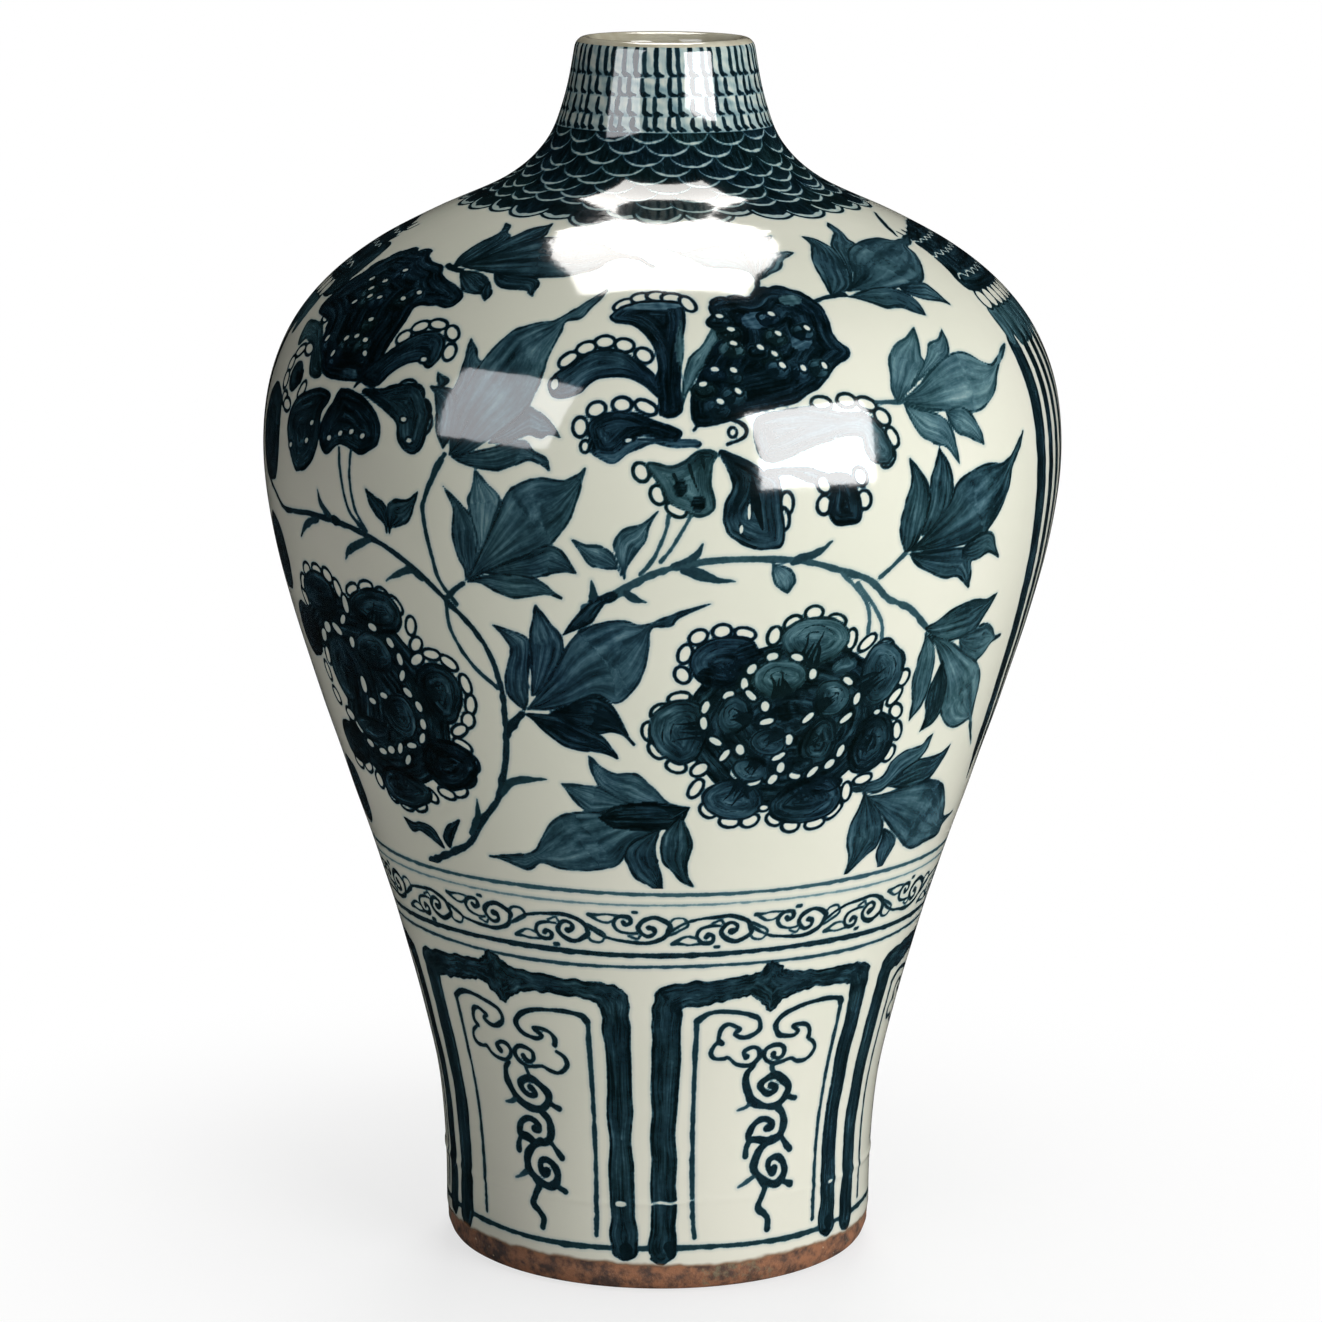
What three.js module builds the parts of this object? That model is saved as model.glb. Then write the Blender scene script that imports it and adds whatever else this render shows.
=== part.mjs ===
// A Chinese meiping: a tall porcelain vase with wide round shoulders, a short neck and a small mouth.
// Millimetres, +Z up, with the origin at the centre of the face that the foot stands on.
// The wall is thrown in sections that are luted together with slip, then glazed over the outside and the mouth.
import * as THREE from "three";

// Driving dimensions
const HEIGHT = 420;
const FACETS = 48; // flat faces round the vase
const WALL = 7; // thickness of the thrown wall
const SLIP = 0.8; // thickness of a luted joint
const GLAZE = 0.5; // thickness of the fired glaze
const HAIR = 0.3; // clearance between squeezed-out slip and the wall beside it
const GLAZE_BED = 0.1; // hairline between the glaze and the clay that it is fused to

// The outside of the clay as [height, radius], from the foot to the mouth
const OUTLINE = [
  [0, 74.4],
  [30, 74.7],
  [60, 77.3],
  [95, 85.3],
  [130, 95.3],
  [170, 108.7],
  [210, 121.9],
  [245, 131.7],
  [275, 136.3],
  [300, 134.9],
  [320, 128.0],
  [336, 116.2],
  [350, 98.6],
  [361, 77.8],
  [372, 53.8],
  [384, 40.4],
  [398, 34.1],
  [HEIGHT, 29.5],
];

// Heights of the luted joints, which are level rings round the wall
const FOOT_JOINT = 30;
const WAIST_JOINT = 148;
const BELLY_JOINT = 262;
const NECK_JOINT = 376;

// The foot and the plate that closes it
const FOOT_REST_RADIUS = 71; // where the flat foot rim ends and its worn bevel begins
const FOOT_BEVEL = [
  [0.9, 72.5],
  [3.5, 73.9],
];
const PLATE_RADIUS = 60.5;
const PLATE_BOTTOM = 5; // how far the base is recessed above the foot rim
const PLATE_TOP = 14;
const FOOT_BORE = PLATE_RADIUS + SLIP;
const FOOT_RIM_BORE = 63; // the inner edge of the foot rim, cut back a little
const SLIP_FILLET = 4; // slip wiped into the corner inside the foot
const FOOT_SLOPE_TOP = 25; // the thick foot has thinned to the wall's thickness here

// The lip, and how far the glaze reaches
const LIP_WIDTH = 6;
const LIP_DROP = 3.4; // height of the rounding on top of the lip
const LIP_STEPS = 5;
const GLAZE_FOOT_EDGE = 9; // the glaze stops here and leaves the foot bare
const GLAZE_MOUTH_EDGE = 398; // the glaze reaches this far down inside the neck

// Slip that was squeezed out of a joint on the inside, where no hand could wipe it
const BEAD_REACH = 2; // above and below the joint
const BEAD_DEPTH = 1.9; // in from the wall
const BEAD_STEPS = 3;

// Radius of a smooth curve through a list of [height, radius] knots.
function curveRadius(knots, z) {
  const last = knots.length - 1;
  let i = 0;
  while (i < last - 1 && z > knots[i + 1][0]) i++;
  const slope = (k) => {
    const [a, b] = [knots[Math.max(k - 1, 0)], knots[Math.min(k + 1, last)]];
    return (b[1] - a[1]) / (b[0] - a[0]);
  };
  const span = knots[i + 1][0] - knots[i][0];
  const t = (z - knots[i][0]) / span;
  const rise = t * t * (3 - 2 * t);
  return (
    knots[i][1] * (1 - rise) +
    knots[i + 1][1] * rise +
    span * (slope(i) * t * (1 - t) ** 2 - slope(i + 1) * t * t * (1 - t))
  );
}

const outerRadius = (z) => curveRadius(OUTLINE, z);

// Moves each point of an open line sideways, to the right of the way it runs.
function offsetLine(line, distance) {
  return line.map(([r, z], i) => {
    const before = line[Math.max(i - 1, 0)];
    const after = line[Math.min(i + 1, line.length - 1)];
    const unit = ([a, b], [c, d]) => {
      const length = Math.hypot(c - a, d - b) || 1;
      return [(c - a) / length, (d - b) / length];
    };
    const [p, q] = [unit(before, [r, z]), unit([r, z], after)];
    const [dr, dz] = [p[0] + q[0], p[1] + q[1]];
    const length = Math.hypot(dr, dz);
    return [r + (distance * dz) / length, z - (distance * dr) / length];
  });
}

// The inside of the wall: the outline moved in by the wall's thickness, square to the surface.
const INSIDE_STEP = 2;
const insideLine = offsetLine(
  Array.from({ length: HEIGHT / INSIDE_STEP + 1 }, (_, i) => [outerRadius(i * INSIDE_STEP), i * INSIDE_STEP]),
  -WALL,
);

function innerRadius(z) {
  const i = Math.max(1, insideLine.findIndex(([, height]) => height >= z));
  const above = z > insideLine.at(-1)[1] ? insideLine.at(-1) : insideLine[i];
  const below = insideLine[i - 1];
  const t = THREE.MathUtils.clamp((z - below[1]) / (above[1] - below[1] || 1), 0, 1);
  return below[0] + (above[0] - below[0]) * t;
}

// Heights between two levels, spaced evenly along the outline and not along the axis.
function levels(low, high, count) {
  const fine = 200;
  const heights = Array.from({ length: fine + 1 }, (_, i) => low + ((high - low) * i) / fine);
  const run = [0];
  for (let i = 1; i <= fine; i++) {
    const step = Math.hypot(heights[i] - heights[i - 1], outerRadius(heights[i]) - outerRadius(heights[i - 1]));
    run.push(run[i - 1] + step);
  }
  return Array.from({ length: count }, (_, k) => {
    if (k === 0) return low;
    if (k === count - 1) return high;
    const wanted = (run[fine] * k) / (count - 1);
    return heights[run.findIndex((length) => length >= wanted)];
  });
}

const outside = (low, high, count) => levels(low, high, count).map((z) => [outerRadius(z), z]);
const inside = (low, high, count) => levels(low, high, count).map((z) => [innerRadius(z), z]);

// Turns a closed [radius, height] outline, which runs anticlockwise, into a solid round the vase's axis.
function turned(outline) {
  const touchesAxis = outline[0][0] === 0;
  const points = (touchesAxis ? outline : [...outline, outline[0]]).map(([r, z]) => new THREE.Vector2(r, z));
  return new THREE.LatheGeometry(points, FACETS);
}

// A thrown section of the wall between two luted joints
const below = (joint) => joint - SLIP / 2;
const above = (joint) => joint + SLIP / 2;

function wallSection(low, high, outerRings, innerRings) {
  return turned([...outside(low, high, outerRings), ...inside(low, high, innerRings).reverse()]);
}

// The foot: a thick collar with a flat rim, a worn bevel outside and a bore that holds the base plate
const footOutside = [
  ...FOOT_BEVEL.map(([z, r]) => [r, z]),
  ...outside(GLAZE_FOOT_EDGE, below(FOOT_JOINT), 3),
];

function footCollar() {
  return turned([
    [FOOT_RIM_BORE, 0],
    [FOOT_REST_RADIUS, 0],
    ...footOutside,
    ...inside(FOOT_SLOPE_TOP, below(FOOT_JOINT), 2).reverse(),
    [FOOT_BORE, PLATE_TOP + SLIP_FILLET],
    [FOOT_BORE, PLATE_BOTTOM],
  ]);
}

// The base plate: a flat disc of clay let into the foot, its edges softened by hand
function basePlate() {
  return turned([
    [0, PLATE_BOTTOM],
    [PLATE_RADIUS, PLATE_BOTTOM],
    [PLATE_RADIUS, PLATE_TOP],
    [0, PLATE_TOP],
  ]);
}

// The slip round the base plate, wiped into a fillet in the corner above it
function baseSlip() {
  return turned([
    [PLATE_RADIUS, PLATE_BOTTOM],
    [FOOT_BORE, PLATE_BOTTOM],
    [FOOT_BORE, PLATE_TOP + SLIP_FILLET],
    [FOOT_BORE - SLIP_FILLET * 0.62, PLATE_TOP + SLIP_FILLET * 0.3],
    [FOOT_BORE - SLIP_FILLET, PLATE_TOP],
    [PLATE_RADIUS, PLATE_TOP],
  ]);
}

// The slip in a level joint of the wall, flush outside and standing in a soft bead inside
function jointSlip(joint) {
  const [low, high] = [below(joint), above(joint)];
  const start = innerRadius(high + BEAD_REACH) - HAIR;
  const end = innerRadius(low - BEAD_REACH) - HAIR;
  const bead = Array.from({ length: BEAD_STEPS + 1 }, (_, i) => {
    const t = i / BEAD_STEPS;
    const radius = start + (end - start) * t - BEAD_DEPTH * Math.sin(Math.PI * t);
    return [radius, high + BEAD_REACH - (high - low + 2 * BEAD_REACH) * t];
  });
  return turned([
    [outerRadius(low), low],
    [outerRadius(high), high],
    [innerRadius(high), high],
    ...bead,
    [innerRadius(low), low],
  ]);
}

// The neck, with its lip rolled over into a soft round edge
const lipBase = HEIGHT - LIP_DROP;
const lip = Array.from({ length: LIP_STEPS + 1 }, (_, i) => {
  const angle = (Math.PI * i) / LIP_STEPS;
  const middle = outerRadius(lipBase) - LIP_WIDTH / 2;
  return [middle + (LIP_WIDTH / 2) * Math.cos(angle), lipBase + LIP_DROP * Math.sin(angle)];
});
const neckOutside = outside(above(NECK_JOINT), lipBase, 6);
const throat = [
  [innerRadius(GLAZE_MOUTH_EDGE), GLAZE_MOUTH_EDGE],
  ...inside(above(NECK_JOINT), GLAZE_MOUTH_EDGE - INSIDE_STEP * 4, 3).reverse(),
];

function neckAndMouth() {
  return turned([...neckOutside, ...lip.slice(1), ...throat]);
}

// The glaze: a thin glassy coat over the outside, over the lip and a little way down the neck
const LOWER_RINGS = 5;
const BELLY_RINGS = 6;
const SHOULDER_RINGS = 9;
const clayUnderGlaze = [
  ...outside(GLAZE_FOOT_EDGE, below(FOOT_JOINT), 3),
  ...outside(above(FOOT_JOINT), below(WAIST_JOINT), LOWER_RINGS),
  ...outside(above(WAIST_JOINT), below(BELLY_JOINT), BELLY_RINGS),
  ...outside(above(BELLY_JOINT), below(NECK_JOINT), SHOULDER_RINGS),
  ...neckOutside,
  ...lip.slice(1),
  throat[0],
];

function glazeCoat() {
  const skin = offsetLine(clayUnderGlaze, GLAZE_BED + GLAZE);
  return turned([...skin, ...offsetLine(clayUnderGlaze, GLAZE_BED).reverse()]);
}

// Each finish as it shows on the fired vase
const biscuit = new THREE.MeshStandardMaterial({ color: 0xc9a983, roughness: 0.92, metalness: 0 });
const slip = new THREE.MeshStandardMaterial({ color: 0xb9996f, roughness: 0.95, metalness: 0 });
const glaze = new THREE.MeshStandardMaterial({ color: 0xdcdccb, roughness: 0.1, metalness: 0 });

const vase = new THREE.Group();
vase.rotation.x = Math.PI / 2; // a lathe turns round Y, and the vase stands up along Z

function add(name, geometry, material) {
  const mesh = new THREE.Mesh(geometry, material);
  mesh.name = name;
  vase.add(mesh);
}

add("base_plate", basePlate(), biscuit);
add("foot_collar", footCollar(), biscuit);
add("lower_wall", wallSection(above(FOOT_JOINT), below(WAIST_JOINT), LOWER_RINGS, 4), biscuit);
add("belly_wall", wallSection(above(WAIST_JOINT), below(BELLY_JOINT), BELLY_RINGS, 5), biscuit);
add("shoulder_dome", wallSection(above(BELLY_JOINT), below(NECK_JOINT), SHOULDER_RINGS, 8), biscuit);
add("neck_and_mouth", neckAndMouth(), biscuit);
add("slip_round_base", baseSlip(), slip);
add("slip_joint_foot", jointSlip(FOOT_JOINT), slip);
add("slip_joint_waist", jointSlip(WAIST_JOINT), slip);
add("slip_joint_belly", jointSlip(BELLY_JOINT), slip);
add("slip_joint_neck", jointSlip(NECK_JOINT), slip);
add("glaze_coat", glazeCoat(), glaze);

const part = new THREE.Group();
part.add(vase);

export default part;
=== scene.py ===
"""A tall Chinese meiping in porcelain, painted in cobalt blue under a clear glaze.

Places on the wall are (angle, way): degrees to the right of the side that the photograph shows,
and millimetres up the wall from the foot, measured along its curve.
"""

import math

import bpy
import numpy as np
from mathutils import Matrix, Vector


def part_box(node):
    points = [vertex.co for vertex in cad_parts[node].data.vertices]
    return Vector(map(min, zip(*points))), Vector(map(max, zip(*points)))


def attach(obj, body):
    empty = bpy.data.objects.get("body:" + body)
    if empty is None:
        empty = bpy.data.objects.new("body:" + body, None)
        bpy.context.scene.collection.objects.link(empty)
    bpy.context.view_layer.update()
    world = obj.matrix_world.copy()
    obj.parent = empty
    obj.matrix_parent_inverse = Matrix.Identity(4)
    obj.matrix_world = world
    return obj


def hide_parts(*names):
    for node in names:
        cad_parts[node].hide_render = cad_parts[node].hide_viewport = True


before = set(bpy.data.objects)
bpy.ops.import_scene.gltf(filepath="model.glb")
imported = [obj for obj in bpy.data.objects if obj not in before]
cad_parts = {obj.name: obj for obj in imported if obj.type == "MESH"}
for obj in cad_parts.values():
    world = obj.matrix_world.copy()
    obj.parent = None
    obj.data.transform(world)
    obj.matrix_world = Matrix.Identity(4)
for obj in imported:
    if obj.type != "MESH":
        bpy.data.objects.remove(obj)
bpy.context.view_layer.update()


# The wall's outline
# The vase was thrown in sections on a wheel, so every level is a circle round one axis.
# The glaze lies over the clay and softens the joints; the lip is the top of the neck rolled outwards.
MM = 0.001
CLAY = (
    (0, 74.4), (30, 74.7), (60, 77.3), (95, 85.3), (130, 95.3), (170, 108.7), (210, 121.9), (245, 131.7),
    (275, 136.3), (300, 134.9), (320, 128.0), (336, 116.2), (350, 98.6), (361, 77.8), (372, 53.8),
    (384, 40.4), (398, 34.1), (420, 29.5),
)  # height and radius of the clay
GLAZE = 0.55
LIP_LEVEL, LIP_TOP, LIP_ROLL = 416.6, 420.38, 3.6

knots = np.array(CLAY, float)
slopes = np.empty(len(knots))
slopes[1:-1] = (knots[2:, 1] - knots[:-2, 1]) / (knots[2:, 0] - knots[:-2, 0])
slopes[0] = (knots[1, 1] - knots[0, 1]) / (knots[1, 0] - knots[0, 0])
slopes[-1] = (knots[-1, 1] - knots[-2, 1]) / (knots[-1, 0] - knots[-2, 0])


def clay_radius(z):
    """Radius of the clay at a height, on a smooth curve through the knots."""
    z = np.asarray(z, float)
    i = np.clip(np.searchsorted(knots[:, 0], z) - 1, 0, len(knots) - 2)
    span = knots[i + 1, 0] - knots[i, 0]
    t = (z - knots[i, 0]) / span
    rise = t * t * (3 - 2 * t)
    bend = slopes[i] * t * (1 - t) ** 2 - slopes[i + 1] * t * t * (1 - t)
    return knots[i, 1] * (1 - rise) + knots[i + 1, 1] * rise + span * bend


def offset_line(radii, heights, distance):
    """The line moved square to itself, outwards where the distance is positive."""
    dr, dz = np.gradient(radii), np.gradient(heights)
    length = np.hypot(dr, dz)
    return radii + distance * dz / length, heights - distance * dr / length


fine = np.linspace(2, LIP_LEVEL, 4001)
edge = np.clip((fine - 7.5) / 4, 0, 1)
skin_r, skin_z = offset_line(clay_radius(fine), fine, 0.08 + (GLAZE - 0.08) * edge * edge * (3 - 2 * edge))
lean = math.atan2(skin_r[-2] - skin_r[-1], skin_z[-1] - skin_z[-2])
lip_rise = (LIP_TOP - skin_z[-1]) / (1 - math.sin(lean))
lip_center = (skin_r[-1] - LIP_ROLL * math.cos(lean), LIP_TOP - lip_rise)


def lip_line(angle):
    """Radius and height on the rolled lip; 0 is its outermost point, 90 degrees its top."""
    b = np.radians(angle)
    return lip_center[0] + LIP_ROLL * np.cos(b), lip_center[1] + lip_rise * np.sin(b)


PAINTED_LIP = 40  # degrees up the roll at which the painted neck ends
roll_r, roll_z = lip_line(np.linspace(math.degrees(lean), PAINTED_LIP, 60)[1:])
skin_r, skin_z = np.concatenate([skin_r, roll_r]), np.concatenate([skin_z, roll_z])
skin_way = skin_z[0] + np.concatenate([[0], np.cumsum(np.hypot(np.diff(skin_r), np.diff(skin_z)))])
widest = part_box("glaze_coat")[1][0] / MM
skin_r = np.minimum(skin_r, widest - 0.02)


def radius_at(way):
    return np.interp(way, skin_way, skin_r)


def height_at(way):
    return np.interp(way, skin_way, skin_z)


def mm_per_degree(way):
    return float(radius_at(way)) * math.pi / 180


def waver(x, seed, waves=5):
    """Smooth random wobble between about -1 and 1 along x, the same for the same seed."""
    rng = np.random.default_rng(seed)
    total = 0.0
    for k in range(waves):
        total = total + np.sin(x * (0.55 + 0.5 * k + rng.uniform(-0.15, 0.15)) + rng.uniform(0, 6.3))
    return total / math.sqrt(waves)


# The painting
# Cobalt was brushed on the dry clay in one sitting: washes laid with a loaded brush, darker outlines over them.
# Each panel of wall keeps signed distances in mm, so that an edge stays crisp between its points.
class Panel:
    """Part of the wall: its points, and what the brush left there."""

    LAYERS = ("wash", "tone", "hue", "across", "along", "bare", "line", "strength")

    def __init__(self, name, number, parts, angle, way, turns):
        self.name, self.number, self.parts, self.angle, self.way, self.turns = name, number, parts, angle, way, turns
        self.scale = radius_at(way) * math.pi / 180  # mm in one degree
        for layer in self.LAYERS:
            start = -9.0 if layer in ("wash", "bare", "line") else 0.0
            setattr(self, layer, np.full((len(way), len(angle)), start))


def ring(name, low, high, parts, columns, rows, start=-180.0, turn=360.0):
    """Panels side by side; those of half a turn hold a painting that repeats at the back."""
    step = turn / parts
    turns = (0, -turn, turn)
    way = np.linspace(low, high, rows + 1)
    return [
        Panel(name, k + 1, parts, np.linspace(start + k * step, start + (k + 1) * step, columns + 1), way, turns)
        for k in range(parts)
    ]


SKIRT_LOW, BAND_LOW, FIELD_LOW, COLLAR_LOW, NECK_LOW = 7.0, 119.0, 152.5, 387.0, 447.0
NECK_TOP = float(skin_way[-1])
GAP_ANGLE = -3.7  # the gap between two lappets nearest the front
skirt = ring("lappet_panel", SKIRT_LOW, BAND_LOW, 6, 136, 176, GAP_ANGLE - 180)
band = ring("scroll_band", BAND_LOW, FIELD_LOW, 4, 280, 66, GAP_ANGLE - 180)
field = ring("peony_field", FIELD_LOW, COLLAR_LOW, 4, 170, 372, turn=180.0)
collar = ring("scale_collar", COLLAR_LOW, NECK_LOW, 2, 210, 110, turn=180.0)
neck = ring("comb_neck", NECK_LOW, NECK_TOP, 2, 140, 74, turn=180.0)
upper = field + collar + neck


def curve(points, count=7, closed=False):
    """A smooth curve through the points."""
    p = np.asarray(points, float)
    if len(p) == 2 and not closed:
        return p[0] + (p[1] - p[0]) * np.linspace(0, 1, count + 1)[:, None]
    q = np.vstack([p[-1], p, p[:2]]) if closed else np.vstack([2 * p[0] - p[1], p, 2 * p[-1] - p[-2]])
    t = np.linspace(0, 1, count, endpoint=False)[:, None]
    parts = [
        0.5 * (2 * b + (c - a) * t + (2 * a - 5 * b + 4 * c - d) * t**2 + (3 * b - a - 3 * c + d) * t**3)
        for a, b, c, d in zip(q[:-3], q[1:-2], q[2:-1], q[3:])
    ]
    return np.vstack(parts + [q[-2][None, :] if not closed else p[:1]])


def reached(path, reach, panels):
    """Each panel that a path comes near, its window of points within reach, and how far the path is turned there."""
    low, high = path[:, 1].min() - reach, path[:, 1].max() + reach
    left, right = path[:, 0].min(), path[:, 0].max()
    for panel in panels:
        r0, r1 = np.searchsorted(panel.way, [low, high])
        if r0 >= r1:
            continue
        wide = reach / panel.scale[r0:r1].min()
        for turn in panel.turns:
            c0, c1 = np.searchsorted(panel.angle, [left + turn - wide, right + turn + wide])
            if c0 < c1:
                yield panel, (slice(r0, r1), slice(c0, c1)), turn


def measure(panel, window, path, turn=0.0):
    """For each point of a window: its distance to the path in mm, how far along that is, its side, and whether
    a level line from the point to the right crosses the path an odd number of times."""
    angle, way = panel.angle[None, window[1]] - turn, panel.way[window[0], None]
    scale = panel.scale[window[0], None]
    best = np.full((way.shape[0], angle.shape[1]), 1e9)
    along, side, odd = np.zeros_like(best), np.ones_like(best), np.zeros(best.shape, bool)
    for i, (a, b) in enumerate(zip(path[:-1], path[1:])):
        ax, ay = (a[0] - angle) * scale, a[1] - way
        dx, dy = (b[0] - a[0]) * scale, b[1] - a[1]
        t = np.clip(-(ax * dx + ay * dy) / (dx * dx + dy * dy + 1e-12), 0, 1)
        distance = (ax + t * dx) ** 2 + (ay + t * dy) ** 2
        closer = distance < best
        best = np.where(closer, distance, best)
        along = np.where(closer, i + t, along)
        side = np.where(closer, np.sign(dx * ay - dy * ax), side)
        if dy:
            odd ^= ((ay > 0) != (ay + dy > 0)) & (ax - ay * dx / dy > 0)
    return np.sqrt(best), along / (len(path) - 1), side, odd


def length_of(path):
    k = mm_per_degree(path[:, 1].mean())
    return float(np.hypot(np.diff(path[:, 0]) * k, np.diff(path[:, 1])).sum())


def ink_line(panel, window, depth, strength, hue=0.5):
    """Adds to the brush lines; depth is how far inside the line each point is, in mm."""
    ours = (depth > panel.line[window]) & (depth > -1.2)
    panel.strength[window] = np.where(ours, strength, panel.strength[window])
    panel.hue[window] = np.where(ours & (panel.wash[window] < -0.3), hue, panel.hue[window])
    panel.line[window] = np.maximum(panel.line[window], depth)


def cover(panel, window, depth, tone, hue, across=0.0, along=0.0):
    """Lays a wash that hides what was painted there before; across and along are mm across and along the brush."""
    ours = (depth > -0.4) | ((depth > -1.3) & (depth > panel.wash[window]))
    for layer, value in (("tone", tone), ("hue", hue), ("across", across), ("along", along)):
        whole = getattr(panel, layer)
        whole[window] = np.where(ours, value, whole[window])
    panel.line[window] = np.minimum(panel.line[window], -depth)
    panel.bare[window] = np.minimum(panel.bare[window], -depth)
    panel.wash[window] = np.maximum(panel.wash[window], depth)


def leave_bare(panel, window, depth):
    """A spot that the brush went round."""
    panel.line[window] = np.minimum(panel.line[window], -depth)
    panel.bare[window] = np.maximum(panel.bare[window], depth)


def stroke(points, width, strength, panels, hue=0.5, count=7, smooth=True):
    """One brush line, whose width in mm may change along it, with the small unevenness of a hand."""
    path = curve(points, count) if smooth else np.asarray(points, float)
    widths = np.atleast_1d(np.asarray(width, float))
    long = length_of(path)
    for panel, window, turn in reached(path, widths.max() / 2 + 1.5, panels):
        distance, along, side, _ = measure(panel, window, path, turn)
        half = np.interp(along, np.linspace(0, 1, len(widths)), widths) / 2
        sway = waver(along * long * 0.55, int(abs(path[0, 0]) * 7 + path[0, 1]), 4)
        ink_line(panel, window, half * (1 + 0.12 * sway) - distance + 0.06 * side * sway, strength, hue)


def blot(base, left, tip, right, tone, hue, seed, panels, edge=1.0):
    """A lobe filled from its base to its tip with a loaded brush: streaked, and darker at its ends and edges."""
    one, two = curve([base, *left, tip], 6), curve([base, *right, tip], 6)
    long = 0.5 * (length_of(one) + length_of(two))
    for panel, window, turn in reached(np.vstack([one, two]), 1.8, panels):
        far_one, along_one, _, odd_one = measure(panel, window, one, turn)
        far_two, along_two, _, odd_two = measure(panel, window, two, turn)
        depth = np.minimum(far_one, far_two) * np.where(odd_one ^ odd_two, 1, -1)
        share = (far_one - far_two) / (far_one + far_two + 1e-6)
        wide = max(1.0, min(9.0, 2 * float(depth.max())))
        across = share * wide * 0.5
        along = 0.5 * (along_one + along_two)
        streak = waver(across * 1.5 + 0.4 * waver(along * long * 0.2, seed + 5, 3), seed)
        shade = tone * (1 + 0.17 * streak + 0.10 * waver(along * long * 0.22 + across * 0.3, seed + 3, 3))
        shade = shade + 0.20 * np.clip(1 - along / 0.2, 0, 1) + 0.22 * np.clip((along - 0.84) / 0.16, 0, 1)
        shade = shade + 0.10 * np.exp(-np.abs(depth) / 0.7)
        cover(panel, window, depth, np.clip(shade, 0.12, 0.95), hue, across, along * long + seed * 41)
        thick = edge * (0.85 + 0.3 * waver(along * long * 0.5 + share, seed + 9, 3))
        ink_line(panel, window, 0.5 * thick - np.abs(depth - 0.15), min(0.9, max(0.62, tone + 0.27)), hue)


def oval(center, size, turned, panels):
    """Signed depth in mm inside an ellipse on the wall, with each panel and window it touches."""
    middle = np.array([center], float)
    for panel, window, turn in reached(middle, max(size) + 1.5, panels):
        x = (panel.angle[None, window[1]] - turn - center[0]) * panel.scale[window[0], None]
        y = panel.way[window[0], None] - center[1] + 0 * x
        u = x * math.cos(turned) + y * math.sin(turned)
        v = y * math.cos(turned) - x * math.sin(turned)
        far = np.hypot(u / size[0], v / size[1])
        slope = np.hypot(u / size[0] ** 2, v / size[1] ** 2) / np.maximum(far, 1e-6)
        yield panel, window, (1 - far) / np.maximum(slope, 1e-6), u, v


def scallop(center, outline, size, panels, hue, edge=1.05):
    """A bare bead inside a dark ring, lying along the nearest part of a petal's outline."""
    k = mm_per_degree(center[1])
    x, y = (outline[:, 0] - center[0]) * k, outline[:, 1] - center[1]
    i = int(np.argmin(np.hypot(x, y)))
    before, after = (i - 2) % (len(outline) - 1), (i + 2) % (len(outline) - 1)
    turned = math.atan2(y[after] - y[before], x[after] - x[before])
    sway = 1 + 0.1 * math.sin(center[0] * 3 + center[1])
    for panel, window, depth, u, v in oval(center, (size[0] * sway, size[1] * (2 - sway)), turned, panels):
        leave_bare(panel, window, depth)
        panel.hue[window] = np.where(depth > -1.0, hue, panel.hue[window])
        ink_line(panel, window, edge / 2 - np.abs(depth + 0.1), 0.85, hue)


def body(points, spots, tone, hue, seed, panels, heart=None, size=(3.3, 2.15), edge=1.1, folds=0.16,
         rough=0.1):
    """A petal: a closed outline with beads along it, and inside it folds that follow its edge.

    It darkens towards the flower's heart.
    """
    outline = curve(points, 6, closed=True)
    long = length_of(outline)
    if heart:
        k = mm_per_degree(outline[:, 1].mean())
        reach = np.hypot((outline[:, 0] - heart[0]) * k, outline[:, 1] - heart[1])
    for spot in spots:
        scallop(spot, outline, size, panels, hue)
    for panel, window, turn in reached(outline, 1.8, panels):
        distance, along, _, odd = measure(panel, window, outline, turn)
        depth = np.where(odd, distance, -distance)
        around = along * long
        depth = depth + rough * waver(around * 0.45, seed + 7, 4)
        fold = waver(depth * 1.1 + 0.7 * waver(around * 0.14, seed + 2, 3), seed, 4)
        shade = tone * (1 + folds * fold + 0.10 * waver(around * 0.3 + depth * 0.4, seed + 4, 3))
        if heart:
            x = (panel.angle[None, window[1]] - turn - heart[0]) * panel.scale[window[0], None]
            y = panel.way[window[0], None] - heart[1]
            inwards = 1 - (np.hypot(x, y) - reach.min()) / (reach.max() - reach.min())
            shade = shade + 0.3 * np.clip(1.5 * inwards - 0.5, 0, 1)
        shade = shade + 0.12 * np.exp(-np.abs(depth) / 0.8)
        cover(panel, window, depth, np.clip(shade, 0.15, 0.97), hue, depth, around + seed * 41)
        thick = edge * (0.9 + 0.25 * waver(around * 0.4, seed + 9, 3))
        ink_line(panel, window, 0.5 * thick - np.abs(depth - 0.1), min(0.92, max(0.7, tone + 0.3)), hue)

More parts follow.
